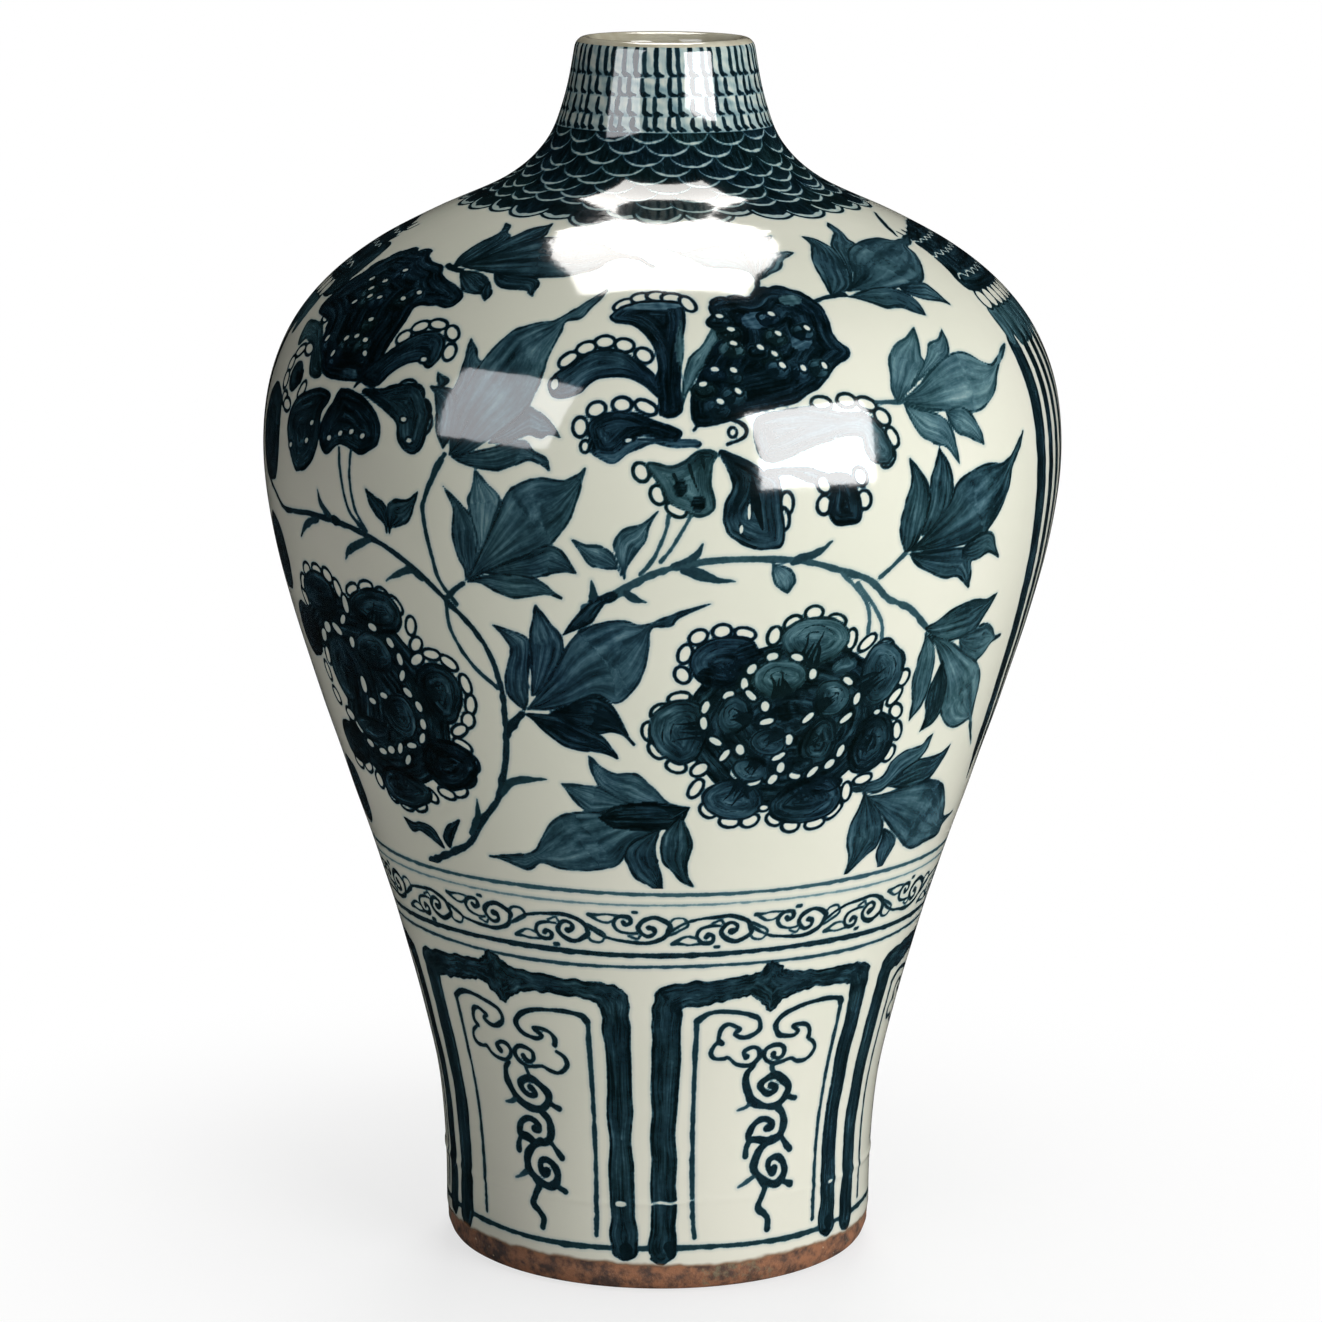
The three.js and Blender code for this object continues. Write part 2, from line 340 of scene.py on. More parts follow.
# Leaves and vines of the peony scroll, front and back
# Each leaf spreads from one base in pointed lobes, each filled with a single loaded brush and outlined.
# A lobe is its tone, base, the points of one side, its tip, and the points of the other side.
LEAVES = (
    (0.5, (  # top left
        (0.57, (-43.5, 371.5), ((-44.6, 377), (-44.6, 382), (-43.9, 386.5), (-42.4, 390.5), (-41.9, 395)),
         (-43.6, 399.3), ((-40, 378), (-38.2, 385), (-37.7, 391.8), (-39.8, 394), (-41, 397.8))),
        (0.57, (-40.5, 376), ((-38.5, 386), (-37, 391.5), (-34.4, 397.2), (-31.3, 399.8)), (-29.8, 401.5),
         ((-37, 380), (-33, 386), (-30, 391), (-28.9, 394.5), (-29.3, 398.7))),
        (0.55, (-42, 373.5), ((-35, 384.5), (-30, 391.5), (-26.4, 393.2), (-20.1, 392.8), (-14, 390.2),
                              (-9.7, 385.9), (-5, 383.2)), (-2, 378.2),
         ((-35, 371.5), (-26.4, 371), (-20, 371.4), (-15.2, 374.3), (-12.7, 377.2), (-10.8, 381.4), (-8.3, 383),
          (-5.2, 381.9))),
        (0.6, (-33, 371.5), ((-27, 371), (-24.2, 370.3), (-22.9, 367.7)), (-22.9, 361.9),
         ((-31.5, 367), (-29.2, 364.8), (-24.8, 364.3), (-24, 363))),
        (0.6, (-41, 371), ((-36, 370.5), (-32.8, 367)), (-32.3, 362.5),
         ((-39.6, 367.5), (-38, 364), (-36.3, 361.6), (-33.5, 361.2))),
        (0.72, (-32.8, 367), ((-31.6, 364), (-30.8, 361)), (-31.3, 358.2), ((-33.3, 364), (-32.8, 361))),
    )),
    (0.35, (  # above the open flower
        (0.36, (17.2, 371.5), ((17, 383), (16.2, 387), (13.6, 389.7), (10.2, 389.7), (6.4, 387.9), (3.5, 386.5)),
         (0.3, 388.8), ((16.4, 374.9), (13.6, 377.2), (9.8, 377.9), (6.9, 380.4), (4.8, 384))),
        (0.4, (17.4, 371), ((17.2, 382.6), (17, 388.3), (17.6, 392.6), (19.1, 394.4), (23.3, 394.7)),
         (26.3, 395.2), ((20, 377), (22.5, 383.5), (24, 389), (25, 392.2))),
        (0.42, (17.8, 371), ((20.4, 379.7), (22.5, 384), (25, 385.3), (27.1, 385.3)), (28.3, 384.7),
         ((20.8, 374), (22.9, 376), (25, 381), (27, 383.2))),
    )),
    (0.45, (  # top right
        (0.5, (30.2, 361.5), ((30.3, 365), (30.5, 372), (31.1, 379), (33, 384.7), (34.5, 389)), (34.2, 393.6),
         ((35, 365), (36.8, 372), (38.6, 380), (38.9, 386), (37.5, 390.4), (36, 392.9))),
        (0.5, (35.5, 366), ((37.3, 373), (38.5, 380.4), (39.4, 386.9), (42.3, 391.5), (44.4, 394), (44.9, 397.9)),
         (46.6, 400.2), ((41, 379), (44, 384), (46.4, 387), (46.1, 389.7), (47, 393.3), (47, 398.3))),
        (0.46, (34, 363.5), ((37.7, 370.4), (39.6, 377.6), (42.3, 383.3), (46.5, 386.5), (51.6, 388.1), (56.3, 388.1),
                             (59.6, 385.8), (63, 385.3), (67.2, 386.1)), (70.8, 387),
         ((40, 363), (47, 363.3), (52.5, 364), (55.4, 366.9), (58.4, 371.9), (60.9, 376.9), (61.7, 381.1),
          (64.3, 381.9), (67.6, 384.4))),
        (0.5, (33, 361), ((40, 363.8), (44.4, 362.6), (47, 358.3), (47.4, 354)), (47, 350.2),
         ((34.7, 360.2), (37.3, 357.6), (39.8, 354.7), (42.7, 354.4), (44.9, 351.9))),
        (0.5, (46, 363), ((50, 364), (53.1, 363.3), (54.1, 359.7), (54.6, 355.4)), (55, 352.7),
         ((46.5, 360.4), (48.2, 357.6), (50.3, 356.1), (53.3, 354.7))),
    )),
    (0.4, (  # tall leaf left of the open flower
        (0.5, (-31, 312), ((-31.5, 320), (-30.3, 328), (-30.2, 335)), (-30.5, 343.2),
         ((-28, 322), (-26.9, 333.5), (-28.2, 336.6), (-29.1, 340.1))),
        (0.5, (-31, 306), ((-32.3, 311), (-32.8, 317), (-33.6, 322.6)), (-34.7, 325.3),
         ((-29, 315), (-30.5, 324), (-33, 325.2))),
        (0.5, (-33, 325), ((-33.7, 327.5),), (-34.2, 330.3), ((-32, 328),)),
        (0.43, (-30, 304), ((-30, 318), (-28.5, 328), (-26.9, 336.6), (-24.3, 345.9), (-22.1, 349.1), (-19.5, 351.2),
                            (-17.6, 351.9), (-15.7, 355.1), (-13.8, 358.7), (-11.9, 362.6)), (-10, 366),
         ((-27, 305.5), (-22, 313.7), (-18.9, 321), (-17.5, 331), (-17.1, 337.3), (-16.5, 343), (-15.9, 348),
          (-15.5, 352), (-13.1, 353.7), (-12.2, 357.3), (-10.7, 362))),
        (0.48, (-24, 309), ((-20, 318), (-18.9, 321.2), (-17, 319.4), (-15.4, 316.2)), (-13.8, 311.9),
         ((-21, 310), (-18.5, 312.5), (-16.7, 311.8), (-15.5, 312.8))),
        (0.48, (-29.5, 303.5), ((-24, 307), (-19.2, 310.5), (-17.6, 307.3), (-15.6, 304.8)), (-15.2, 301.4),
         ((-28.5, 302.3), (-25.9, 300.9), (-22.7, 300.5), (-20.2, 302.3), (-18, 304.4), (-16, 302.8))),
    )),
    (0.45, (  # below it
        (0.47, (-28, 263), ((-27.9, 267), (-28.9, 272), (-29.4, 279), (-29.1, 286), (-29.8, 290.3)), (-30.8, 294),
         ((-26.5, 267), (-25.8, 273), (-25.3, 281.5), (-27, 286.5), (-28.7, 290))),
        (0.33, (-26.5, 268), ((-25.6, 276), (-26.3, 284), (-26.8, 290), (-26.3, 293.7)), (-25.8, 299.8),
         ((-24.5, 276), (-23, 284.5), (-22.1, 291.5), (-24.3, 296.5))),
        (0.47, (-27.5, 263.5), ((-25, 274), (-22.5, 286), (-21, 293.5), (-18.9, 297), (-16.5, 298.7), (-13.4, 298.3),
                                (-11.6, 299.9)), (-10.3, 302.4),
         ((-24, 267.5), (-19.3, 272.8), (-15.8, 276.2), (-14, 280.3), (-12.3, 286.2), (-11.3, 292.8),
          (-10.7, 297.8))),
        (0.5, (-25, 266.5), ((-19, 273), (-15.8, 277), (-14, 276.2), (-12.7, 272.8)), (-11.5, 268.1),
         ((-21, 266.2), (-17.5, 266.2), (-15.1, 267.8), (-13, 268.7))),
        (0.5, (-27.5, 263), ((-23.5, 266.2), (-18.6, 266.4), (-16.5, 264.7), (-15, 261.8)), (-13.8, 259.6),
         ((-25.5, 262.6), (-23.1, 260.3), (-21, 258.7), (-18.6, 259.5), (-15.8, 260.6))),
    )),
    (0.2, (  # right of the open flower, greener
        (0.34, (34.7, 320.8), ((34.2, 325.6), (34.6, 330.2), (35.3, 335.6), (37.2, 340.2), (40.1, 342.5)), (42.8, 346),
         ((38.4, 326), (41.5, 332.5), (41.4, 335.6), (42.2, 341))),
        (0.34, (38, 326), ((42.4, 334.7), (44.1, 339.3), (46.7, 340.6)), (48.7, 344),
         ((43, 331), (46, 333.4), (47.5, 335.6), (48.4, 340))),
        (0.32, (35.5, 321.5), ((39.5, 326), (42.5, 330.2), (47.9, 334.7), (51.3, 334.3), (54.3, 330.6), (56.6, 328.8),
                               (58.9, 330.6), (61.6, 333.4)), (63.6, 334.5),
         ((39, 318), (45, 316), (49.4, 314.7), (52.4, 316.5), (55.1, 320.2), (57.4, 326.1), (59.3, 328.8),
          (61.9, 332))),
        (0.34, (35.8, 320.5), ((37.6, 318.4), (40.3, 316.5), (42.5, 314.3), (43.7, 310.2), (44.4, 303.8)), (44.7, 299),
         ((36, 318), (36.7, 313.8), (38, 309.3), (40.3, 306.5), (42.5, 304.7))),
        (0.36, (43, 316), ((46.3, 317), (48.3, 313.8), (49.8, 308.4)), (50.4, 303.6),
         ((43.8, 312), (45.2, 308.4), (47.1, 307), (49, 304.7))),
    )),
    (0.3, (  # right, above the round flower
        (0.54, (35.3, 271.8), ((34.4, 276.5), (34.2, 282.9), (34.9, 289.3), (35.9, 295.6)), (35.6, 302.6),
         ((36.8, 273.8), (38.4, 281.1), (38.9, 288.4), (38.6, 293.8), (37.2, 298.4))),
        (0.54, (38, 277), ((39.1, 289.3), (39.3, 295.6), (40.3, 300.2)), (41, 304.9),
         ((40.3, 277.5), (42.2, 282.9), (43.1, 288.4), (43.3, 293.8), (42.4, 300.2))),
        (0.52, (36.5, 272), ((42.5, 285.6), (44.1, 292), (46.7, 295.2), (50.5, 297), (54.3, 296.5), (56.6, 297.5),
                             (58.9, 301.5)), (61, 304.9),
         ((42.5, 271.1), (49.8, 272.9), (52.4, 276.5), (54.7, 282), (56.2, 287.5), (57, 293.8), (58.5, 297.5),
          (60, 301.1))),
        (0.54, (36, 271.3), ((46.3, 270.2), (48.3, 268.4), (48.8, 263.8), (49.2, 259.3)), (49.2, 256),
         ((37.6, 267.5), (40.3, 263.8), (43.3, 261.1), (46.3, 260.6), (47.9, 257.9))),
        (0.54, (46.5, 270), ((48.3, 272.9), (51.3, 274.3), (53.2, 272.9), (54.3, 268.4)), (55.7, 264.2),
         ((46.7, 267.5), (48.6, 265.6), (50.5, 265.6), (52.8, 267))),
    )),
    (0.75, (  # left of the round flower, the bluest
        (0.5, (-21, 218.5), ((-23.2, 223), (-23.5, 228.4), (-22.8, 234.7), (-21.9, 240.2), (-22.8, 244.7)),
         (-24.4, 248.6), ((-20.2, 223), (-19.7, 232), (-19.1, 241), (-19.7, 245.6))),
        (0.5, (-19.5, 224), ((-18.9, 238), (-18.8, 245.6), (-18.2, 251)), (-17.6, 256.6),
         ((-18, 225.6), (-15.3, 234.7), (-14, 242), (-14.5, 247.5), (-15.8, 251))),
        (0.47, (-20.5, 218.8), ((-16, 232), (-14, 240.2), (-11.8, 247.5), (-8.7, 251.3), (-5.2, 252.5), (-2.6, 251.1),
                                (0.5, 253.8), (3.6, 256.5)), (6.8, 258.6),
         ((-17.5, 219.3), (-13.1, 222), (-9.6, 225.6), (-6.5, 222.9), (-3.9, 228.4), (-2.4, 235.6), (-1.7, 243.8),
          (-1.3, 250.2), (1.4, 251.1), (2.3, 253.8))),
        (0.74, (-17, 218.5), ((-14, 221.1), (-10.9, 224.7), (-8.3, 223.8), (-6.5, 219.3), (-5.2, 212)), (-4.1, 207.8),
         ((-12.3, 212.9), (-9.6, 211.5), (-7.4, 212.5), (-5.7, 211.1))),
        (0.74, (-21, 217), ((-17, 217.5), (-14, 216.5), (-9.6, 211.1), (-7.9, 207.5)), (-6.8, 202.4),
         ((-19.7, 214.7), (-17.5, 210.2), (-14.9, 206.1), (-11.8, 204.7), (-8.7, 204.3))),
        (0.74, (-13.8, 247), ((-12.6, 251), (-11.4, 254.7), (-9.6, 258.4)), (-7, 261), ((-10, 251.5), (-8.4, 256.5))),
    )),
    (0.5, (  # bottom left of the round flower
        (0.43, (4.9, 184), ((1.4, 185.6), (-1.3, 192), (-3.9, 196.5), (-7.4, 196.5), (-9.6, 199.3)), (-11.3, 202.7),
         ((-3, 184.5), (-7, 186.5), (-9.2, 190.2), (-10.1, 192), (-10.9, 196.5))),
        (0.43, (-2, 184.5), ((-6.1, 186.5), (-10.1, 191.1), (-14, 191.5)), (-16.3, 191.7),
         ((-7.9, 182.9), (-11.4, 181.1), (-13.1, 182.9), (-14.9, 187.5))),
        (0.47, (3, 181), ((-3, 181), (-8, 181), (-11.4, 181.5), (-15.8, 180.2), (-18.8, 176.5), (-21, 170.2),
                          (-22.8, 164.7), (-25.9, 162.5), (-29.4, 161.5)), (-32.6, 160.2),
         ((-0.8, 174.7), (-4.3, 171.1), (-6.1, 165.6), (-7.9, 161.1), (-11.4, 159.3), (-14.9, 158.4),
          (-18.4, 158.8), (-21.9, 160.2), (-25, 157), (-29.4, 159.3))),
        (0.8, (4.9, 184), ((3.6, 184.3), (-0.8, 185.6), (-4.3, 185.2), (-7.9, 183.4)), (-10.2, 179.3),
         ((3.1, 177.5), (-0.8, 175.6), (-5.2, 175.6), (-7.9, 176.1))),
        (0.57, (0, 176), ((-4.8, 170.2), (-6.1, 165.6), (-5.7, 162), (-4.3, 156.5), (-1.7, 153.4)), (0.5, 151.4),
         ((-0.8, 169.3), (-0.6, 163.8), (0.1, 159.3))),
        (0.57, (3.5, 181), ((0.5, 173), (0.5, 163.8), (2.3, 159.3), (4.5, 154.7)), (6.2, 153.3),
         ((4.5, 176.5), (5.6, 169.3), (4.7, 162), (5.3, 156.5))),
    )),
    (0.15, (  # right of the round flower, greener
        (0.54, (41.4, 243.8), ((43.6, 245.6), (46.7, 248.8), (50.7, 250.6), (54.7, 249.7)), (57.6, 250.8),
         ((42.8, 241.1), (46.3, 237.9), (50.7, 237.5), (53.8, 239.7), (55.5, 244.3), (56.9, 248.4))),
        (0.42, (50, 237.5), ((53.3, 239.7), (56.9, 240.2), (59.1, 237.5), (60.8, 234.3)), (63.2, 233.5),
         ((50.7, 233.8), (53.3, 229.3), (56.4, 227), (58.6, 228.8), (60.2, 232))),
        (0.4, (43, 240), ((47.2, 237.5), (51.6, 232), (56.9, 226.1), (59.5, 221.1), (60.8, 214.7), (61.3, 207.5),
                          (62.6, 202), (64.4, 196.5)), (66.7, 191.3),
         ((45, 235.6), (48, 225.6), (49.4, 218.4), (50.3, 211.1), (52.5, 205.6), (55.5, 202.5), (58.6, 202.5),
          (61.3, 202.9), (62.6, 199.3))),
        (0.42, (41.7, 242), ((41.9, 239.3), (41.4, 232), (41.4, 223.8), (42.5, 216.5)), (42.9, 209.5),
         ((43.6, 238.4), (45, 232), (45.4, 222), (44.8, 215))),
        (0.65, (47, 230), ((45.8, 221.1), (45.8, 214.7), (46.7, 209.3)), (46.2, 204.2),
         ((48.5, 225.6), (49.8, 221.1), (50.3, 211.1), (48.9, 206.5))),
    )),
    (0.4, (  # bottom right
        (0.43, (35.5, 187.3), ((40.1, 189.3), (41.4, 194.7), (44.1, 197.9), (47.6, 198.4), (48.9, 200.6)),
         (50.1, 202.2), ((37, 184.5), (40.6, 183.8), (44.5, 189.3), (48, 192.9), (49.6, 196.5))),
        (0.54, (42, 185), ((45, 190.2), (48.5, 192.9), (52.5, 192.5), (55.1, 193.4)), (57, 195.4),
         ((47.2, 182.9), (52.5, 183.8), (54.7, 186.5), (56.4, 192))),
        (0.47, (36.5, 184), ((39.2, 182), (45.8, 182.9), (54.2, 182.9), (58.6, 179.7), (61.3, 175.6), (63.5, 170.2),
                             (65.2, 164.7), (68.3, 163.8)), (71.2, 163.9),
         ((40.6, 177.5), (43.6, 172), (48, 164.7), (50.7, 160.6), (53.3, 157.5), (56.9, 156.1), (61.3, 157),
          (66.1, 157.5), (66.6, 161.1))),
        (0.5, (37, 184), ((36.6, 178.4), (35.5, 172), (35.7, 165.6), (37, 159.3)), (37.2, 152.3),
         ((41.4, 175.6), (43.6, 169.3), (43.6, 162), (41.9, 159.3), (39.7, 156.1))),
        (0.5, (44, 168), ((44.5, 163.8), (44.1, 158.4), (45.4, 153.8)), (45.8, 149.6),
         ((47.2, 164.7), (48.7, 161.1), (47.6, 155.6))),
    )),
    (0.5, (  # three buds and a drooping leaflet
        (0.62, (-40.8, 276), ((-41.1, 278.7), (-42.5, 281.2), (-43.7, 284.5)), (-44.7, 289.7),
         ((-40.4, 280.3), (-40.8, 284.9), (-42.5, 287.4))),
        (0.62, (-40.3, 276), ((-40.4, 284.5), (-39.2, 287), (-36.7, 287.8)), (-34.9, 291),
         ((-39.9, 277.8), (-38.5, 278.7), (-36.6, 281.2), (-35.5, 287))),
        (0.4, (-5.5, 268), ((-6.5, 274.5), (-8.1, 277.4), (-10.2, 277.8)), (-12.1, 279.6),
         ((-6, 270.3), (-7.4, 270.3), (-9.5, 271.2), (-10.6, 274.5))),
        (0.4, (-5, 267), ((-6.2, 275.3), (-6.2, 279.5), (-5, 283.3), (-2.5, 285.3)), (-0.5, 289.3),
         ((-4.6, 271.2), (-3.6, 275.3), (-2.2, 279.5), (-1.7, 284.5))),
        (0.65, (-43.5, 161), ((-45.3, 166.7), (-48.4, 167.8), (-50.4, 166.7)), (-53.6, 168),
         ((-44, 160), (-48.9, 164.4), (-52, 163.3))),
        (0.65, (-42.3, 161), ((-42.8, 164.4), (-41.2, 168.9)), (-37.8, 172.4), ((-41.7, 161.1), (-39.7, 166.7))),
        (0.3, (15.2, 271.5), ((15.2, 267.5), (15.9, 264)), (17.5, 261.5), ((17.5, 269.5), (18.4, 265.5))),
    )),
)
# a vine or a stalk is its path, its widths in mm, its strength and its hue
VINES = (
    (((-76, 283.3), (-71.9, 278.9), (-68.3, 275), (-63.2, 275.6), (-57.6, 276.7), (-50.4, 276.1), (-45.3, 274),
      (-40.2, 270), (-35.5, 263.5), (-31.2, 254.7), (-27.6, 246.5), (-25.4, 237.5), (-24.6, 229.3), (-24.3, 222.9),
      (-24.5, 214.7), (-24.8, 207.5), (-25.4, 200.2), (-26.8, 191.1), (-28.5, 182.9), (-32.5, 173.8),
      (-36.3, 164.5), (-40.2, 160), (-45.3, 155.6), (-48.4, 152.8)), (1.6, 1.8, 2.0, 1.9, 1.8, 2.0, 2.4, 2.2, 3.0), 0.68, 0.5),
    (((-31, 302), (-32.9, 293.7), (-34.1, 287), (-33.9, 280.3), (-33.2, 272), (-32.2, 262), (-29.8, 254.7)),
     (1.4, 1.6, 1.3, 1.5), 0.62, 0.4),
    (((-31.5, 256), (-31.6, 247.5), (-30.7, 241.1), (-28.5, 232.9), (-25, 225.6)), (1.5, 1.2, 1.6), 0.6, 0.4),
    (((-10.6, 256.6), (-7.1, 260.3), (-4.6, 264.1), (-1.1, 268.7), (2.4, 271.2), (8, 273.3), (18, 272.5), (25, 268),
      (30, 263.4), (33.4, 256.5), (37.6, 252), (41.4, 244.5)), (2.4, 3.0, 2.2, 2.2, 2.0, 2.3, 2.1, 2.4), 0.48, 0.2),
    (((1, 292), (0.6, 283.7), (-1.1, 273.7), (-2.9, 268.7)), (1.2, 1.1, 1.4), 0.5, 0.3),
    (((3.8, 287.8), (1.7, 278.7), (-0.1, 272.8)), (1.2, 1.0, 1.3), 0.5, 0.3),
    (((-50.5, 301), (-49.8, 291.7), (-48.3, 281.2), (-45, 275)), (1.3, 1.1, 1.4), 0.6, 0.6),
    (((-47.8, 301), (-47.9, 292), (-46.9, 282), (-44.8, 275.3)), (1.2, 1.1, 1.4), 0.6, 0.6),
    (((25, 268), (30, 255), (31, 242)), (1.5, 1.2, 1.5), 0.4, 0.2),
    (((28, 263), (32.5, 250), (33.5, 242)), (1.5, 1.2, 1.5), 0.4, 0.2),
    (((31.5, 264.3), (33.2, 267.2), (35.3, 271.5)), (1.6, 1.3, 1.6), 0.5, 0.2),
    (((17.4, 371), (17, 368), (15.7, 364)), (1.8, 1.5), 0.7, 0.4),
    (((-30.7, 304), (-32.2, 298.7), (-34.1, 287)), (1.6, 1.4), 0.6, 0.4),
    (((-28.4, 262), (-29.6, 260), (-31.2, 256.6)), (1.8, 1.6), 0.65, 0.4),
    (((-24.8, 207.5), (-23.6, 212), (-21.5, 216.8)), (2.4, 2.8, 2.6), 0.75, 0.6),
    (((-45.5, 373), (-43.5, 371.5), (-41, 371)), (2.2, 2.4, 2.0), 0.8, 0.5),
    (((26.5, 360), (29, 361.4), (33, 362)), (1.4, 1.7), 0.72, 0.5),
    (((29, 321.5), (32, 321.4), (35.5, 321)), (1.3, 1.6), 0.5, 0.2),
    (((30.5, 186), (33, 186.5), (36.5, 185.5)), (1.5, 1.8), 0.7, 0.4),
    (((-9.5, 258.5), (-7.1, 260.5), (-5.5, 262.6)), (2.6, 3.6, 2.4), 0.8, 0.4),
    (((-53.4, 276.9), (-52, 276.7), (-50.8, 276.4)), (2.4, 3.6, 2.4), 0.78, 0.5),
)
# thorns and leaflets, each from its point down to the vine
THORNS = (
    ((-55.8, 285.6), (-55, 281), (-52.5, 276.7)), ((-62.7, 267.2), (-60.1, 272.2), (-56.6, 275.6)),
    ((-50.4, 263.9), (-48.9, 267.8), (-44.3, 272.8)), ((-42.1, 259.1), (-39.5, 262.4), (-36.7, 264.5), (-35.3, 262)),
    ((5.5, 278.7), (4.4, 274.4), (1.7, 271.2)), ((8, 267), (6, 268.2), (4.1, 270.3)), ((-9.5, 266.2), (-9.2, 258.7)),
    ((-2, 259.1), (-3.8, 260.3), (-5, 262.8)), ((23.5, 278), (21.3, 274.4), (18, 272)),
    ((-18.8, 192.9), (-21, 192.5), (-25, 190.6), (-27.6, 185.6)), ((-32.7, 182), (-33.4, 174.7), (-35.5, 168)),
    ((10, 266), (6.5, 267), (3, 270)),
)

for path, widths, strength, hue in VINES:
    stroke(path, widths, strength, field, hue)
for path in THORNS:
    stroke(path, (0.5, 2.0, 2.8, 2.6), 0.58, field, 0.35)
for number, (hue, lobes) in enumerate(LEAVES):
    for order, (tone, base, left, tip, right) in enumerate(lobes):
        blot(base, left, tip, right, tone, hue, number * 11 + order, upper)

# Flowers of the peony scroll
# One kind is a thick round head of scalloped petals; the other opens into long curling petals under a crest.
# Every petal's edge is a row of beads left bare, so that the white clay outlines it.
def patch(center, size, turned, tone, hue, seed=0):
    """A lighter or darker stain inside a petal, without an outline."""
    for panel, window, depth, u, v in oval(center, size, turned, field):
        shade = tone * (1 + 0.15 * waver(u * 0.8 + 0.3 * v, seed))
        kept = [getattr(panel, layer)[window].copy() for layer in ("line", "bare", "wash")]
        cover(panel, window, depth, shade, hue, v, u + seed * 41)
        for layer, values in zip(("line", "bare", "wash"), kept):
            getattr(panel, layer)[window] = values


def bare_spot(center, size, turned=0.0, hue=0.6, edge=0.9):
    for panel, window, depth, _, _ in oval(center, size, turned, field):
        leave_bare(panel, window, depth)
        ink_line(panel, window, edge / 2 - np.abs(depth + 0.15), 0.88, hue)


def round_petal(center, size, tone, hue, beads, heart, seed, bead=(3.35, 2.15)):
    """A rounded petal, narrower towards the flower's heart, with dark veins that spread from there."""
    k = mm_per_degree(center[1])
    aim = math.atan2(heart[1] - center[1], (heart[0] - center[0]) * k)

    def at(angle, share):
        return center[0] + share * size[0] * math.cos(angle) / k, center[1] + share * size[1] * math.sin(angle)

    outline = []
    for i in range(12):
        angle = math.radians(30 * i)
        narrow = 1 - 0.2 * max(math.cos(angle - aim), 0) + 0.05 * math.sin(3 * angle + seed)
        outline.append(at(angle, narrow))
    body(outline, beads, tone, hue, seed, field, heart, bead)
    for fan in (-0.75, -0.2, 0.3, 0.85):
        reach = 0.35 + 0.25 * math.sin(seed * 2.3 + fan * 5)
        stroke([at(aim + fan * 0.5, 0.8), at(aim + fan, 0.3), at(aim + math.pi - fan * 0.8, reach)],
               (2.2, 1.4, 0.3), 0.86, field, hue)
    for share, width in ((0.66, 0.8), (0.4, 0.7)):
        arc = [at(aim + math.pi + b, share + 0.05 * math.sin(seed + b * 3)) for b in np.linspace(-1.2, 1.2, 7)]
        stroke(arc, (0.3, width, 0.3), 0.8, field, hue)


ROUND_FLOWER = (
    # middle, half width and height, tone, hue, beads; the outer petals first
    ((9.4, 237.4), (11.5, 9.8), 0.6, 0.85, ((3.1, 233.5), (3.4, 241.1), (5.2, 247), (8.5, 248.9), (11.8, 247.8))),
    ((22.3, 243), (12, 9.5), 0.4, 0.1, ((16.1, 246.6), (18.7, 250.8), (21.7, 253.9), (25.4, 250.5), (28.1, 243.5))),
    ((34.3, 228.9), (9.2, 12), 0.48, 0.35, ((31, 241.6), (34.4, 239.7), (37.5, 233.9), (39.2, 226.6), (38.3, 220))),
    ((35.3, 203.5), (9.6, 11.5), 0.66, 0.5, ((39.3, 214.3), (40.6, 206.6), (40.1, 198.2), (35.7, 189.7))),
    ((25.2, 185), (13.3, 9.6), 0.62, 0.7, ((32.8, 185.8), (31, 178.9), (27.7, 175), (23, 175), (19.8, 178.2))),
    ((12.5, 187.4), (10.4, 8.5), 0.5, 0.75, ((15.4, 178.2), (11.8, 178.2), (8, 182.8), (5.8, 191.2))),
    ((3.4, 212.8), (10.5, 12), 0.48, 0.5, ((2.7, 225.1), (-0.2, 220.1), (-1.8, 212.8), (-0.6, 205.8), (2.5, 199.7),
                                         (6.3, 198.5))),
)
ROUND_FLOWER_INSIDE = (
    ((17.6, 230.5), (9.2, 7.5), 0.38, 0.1, ((13.2, 235.1), (16.1, 239.3), (19.9, 238.5), (12.3, 229.7), (22.7, 232))),
    ((26.3, 222), (7, 7), 0.46, 0.2, ((28.8, 228.2), (31, 221.2), (29.7, 214.3))),
    ((11.4, 218.2), (6.2, 7), 0.48, 0.4, ((10, 225.8), (13.4, 225.5), (6.7, 221.6), (6.5, 215.8), (8.5, 208.9),
                                         (15.8, 221.2))),
    ((25.2, 206.6), (7.5, 9), 0.58, 0.4, ((23, 215.8), (29.9, 202), (28.3, 197.4))),
    ((17.2, 208.2), (6.2, 5.5), 0.52, 0.5, ((16.3, 215.5), (20.3, 208.2), (12.5, 205.5), (19, 202))),
    ((14.7, 198.2), (6, 5), 0.48, 0.6, ((10.1, 203.5), (12, 196.2), (15.4, 192.8), (18.5, 193.5), (19.6, 197.8))),
    ((23, 198.2), (4, 3), 0.56, 0.5, ((22.3, 194.3), (25.4, 195.1))),
)
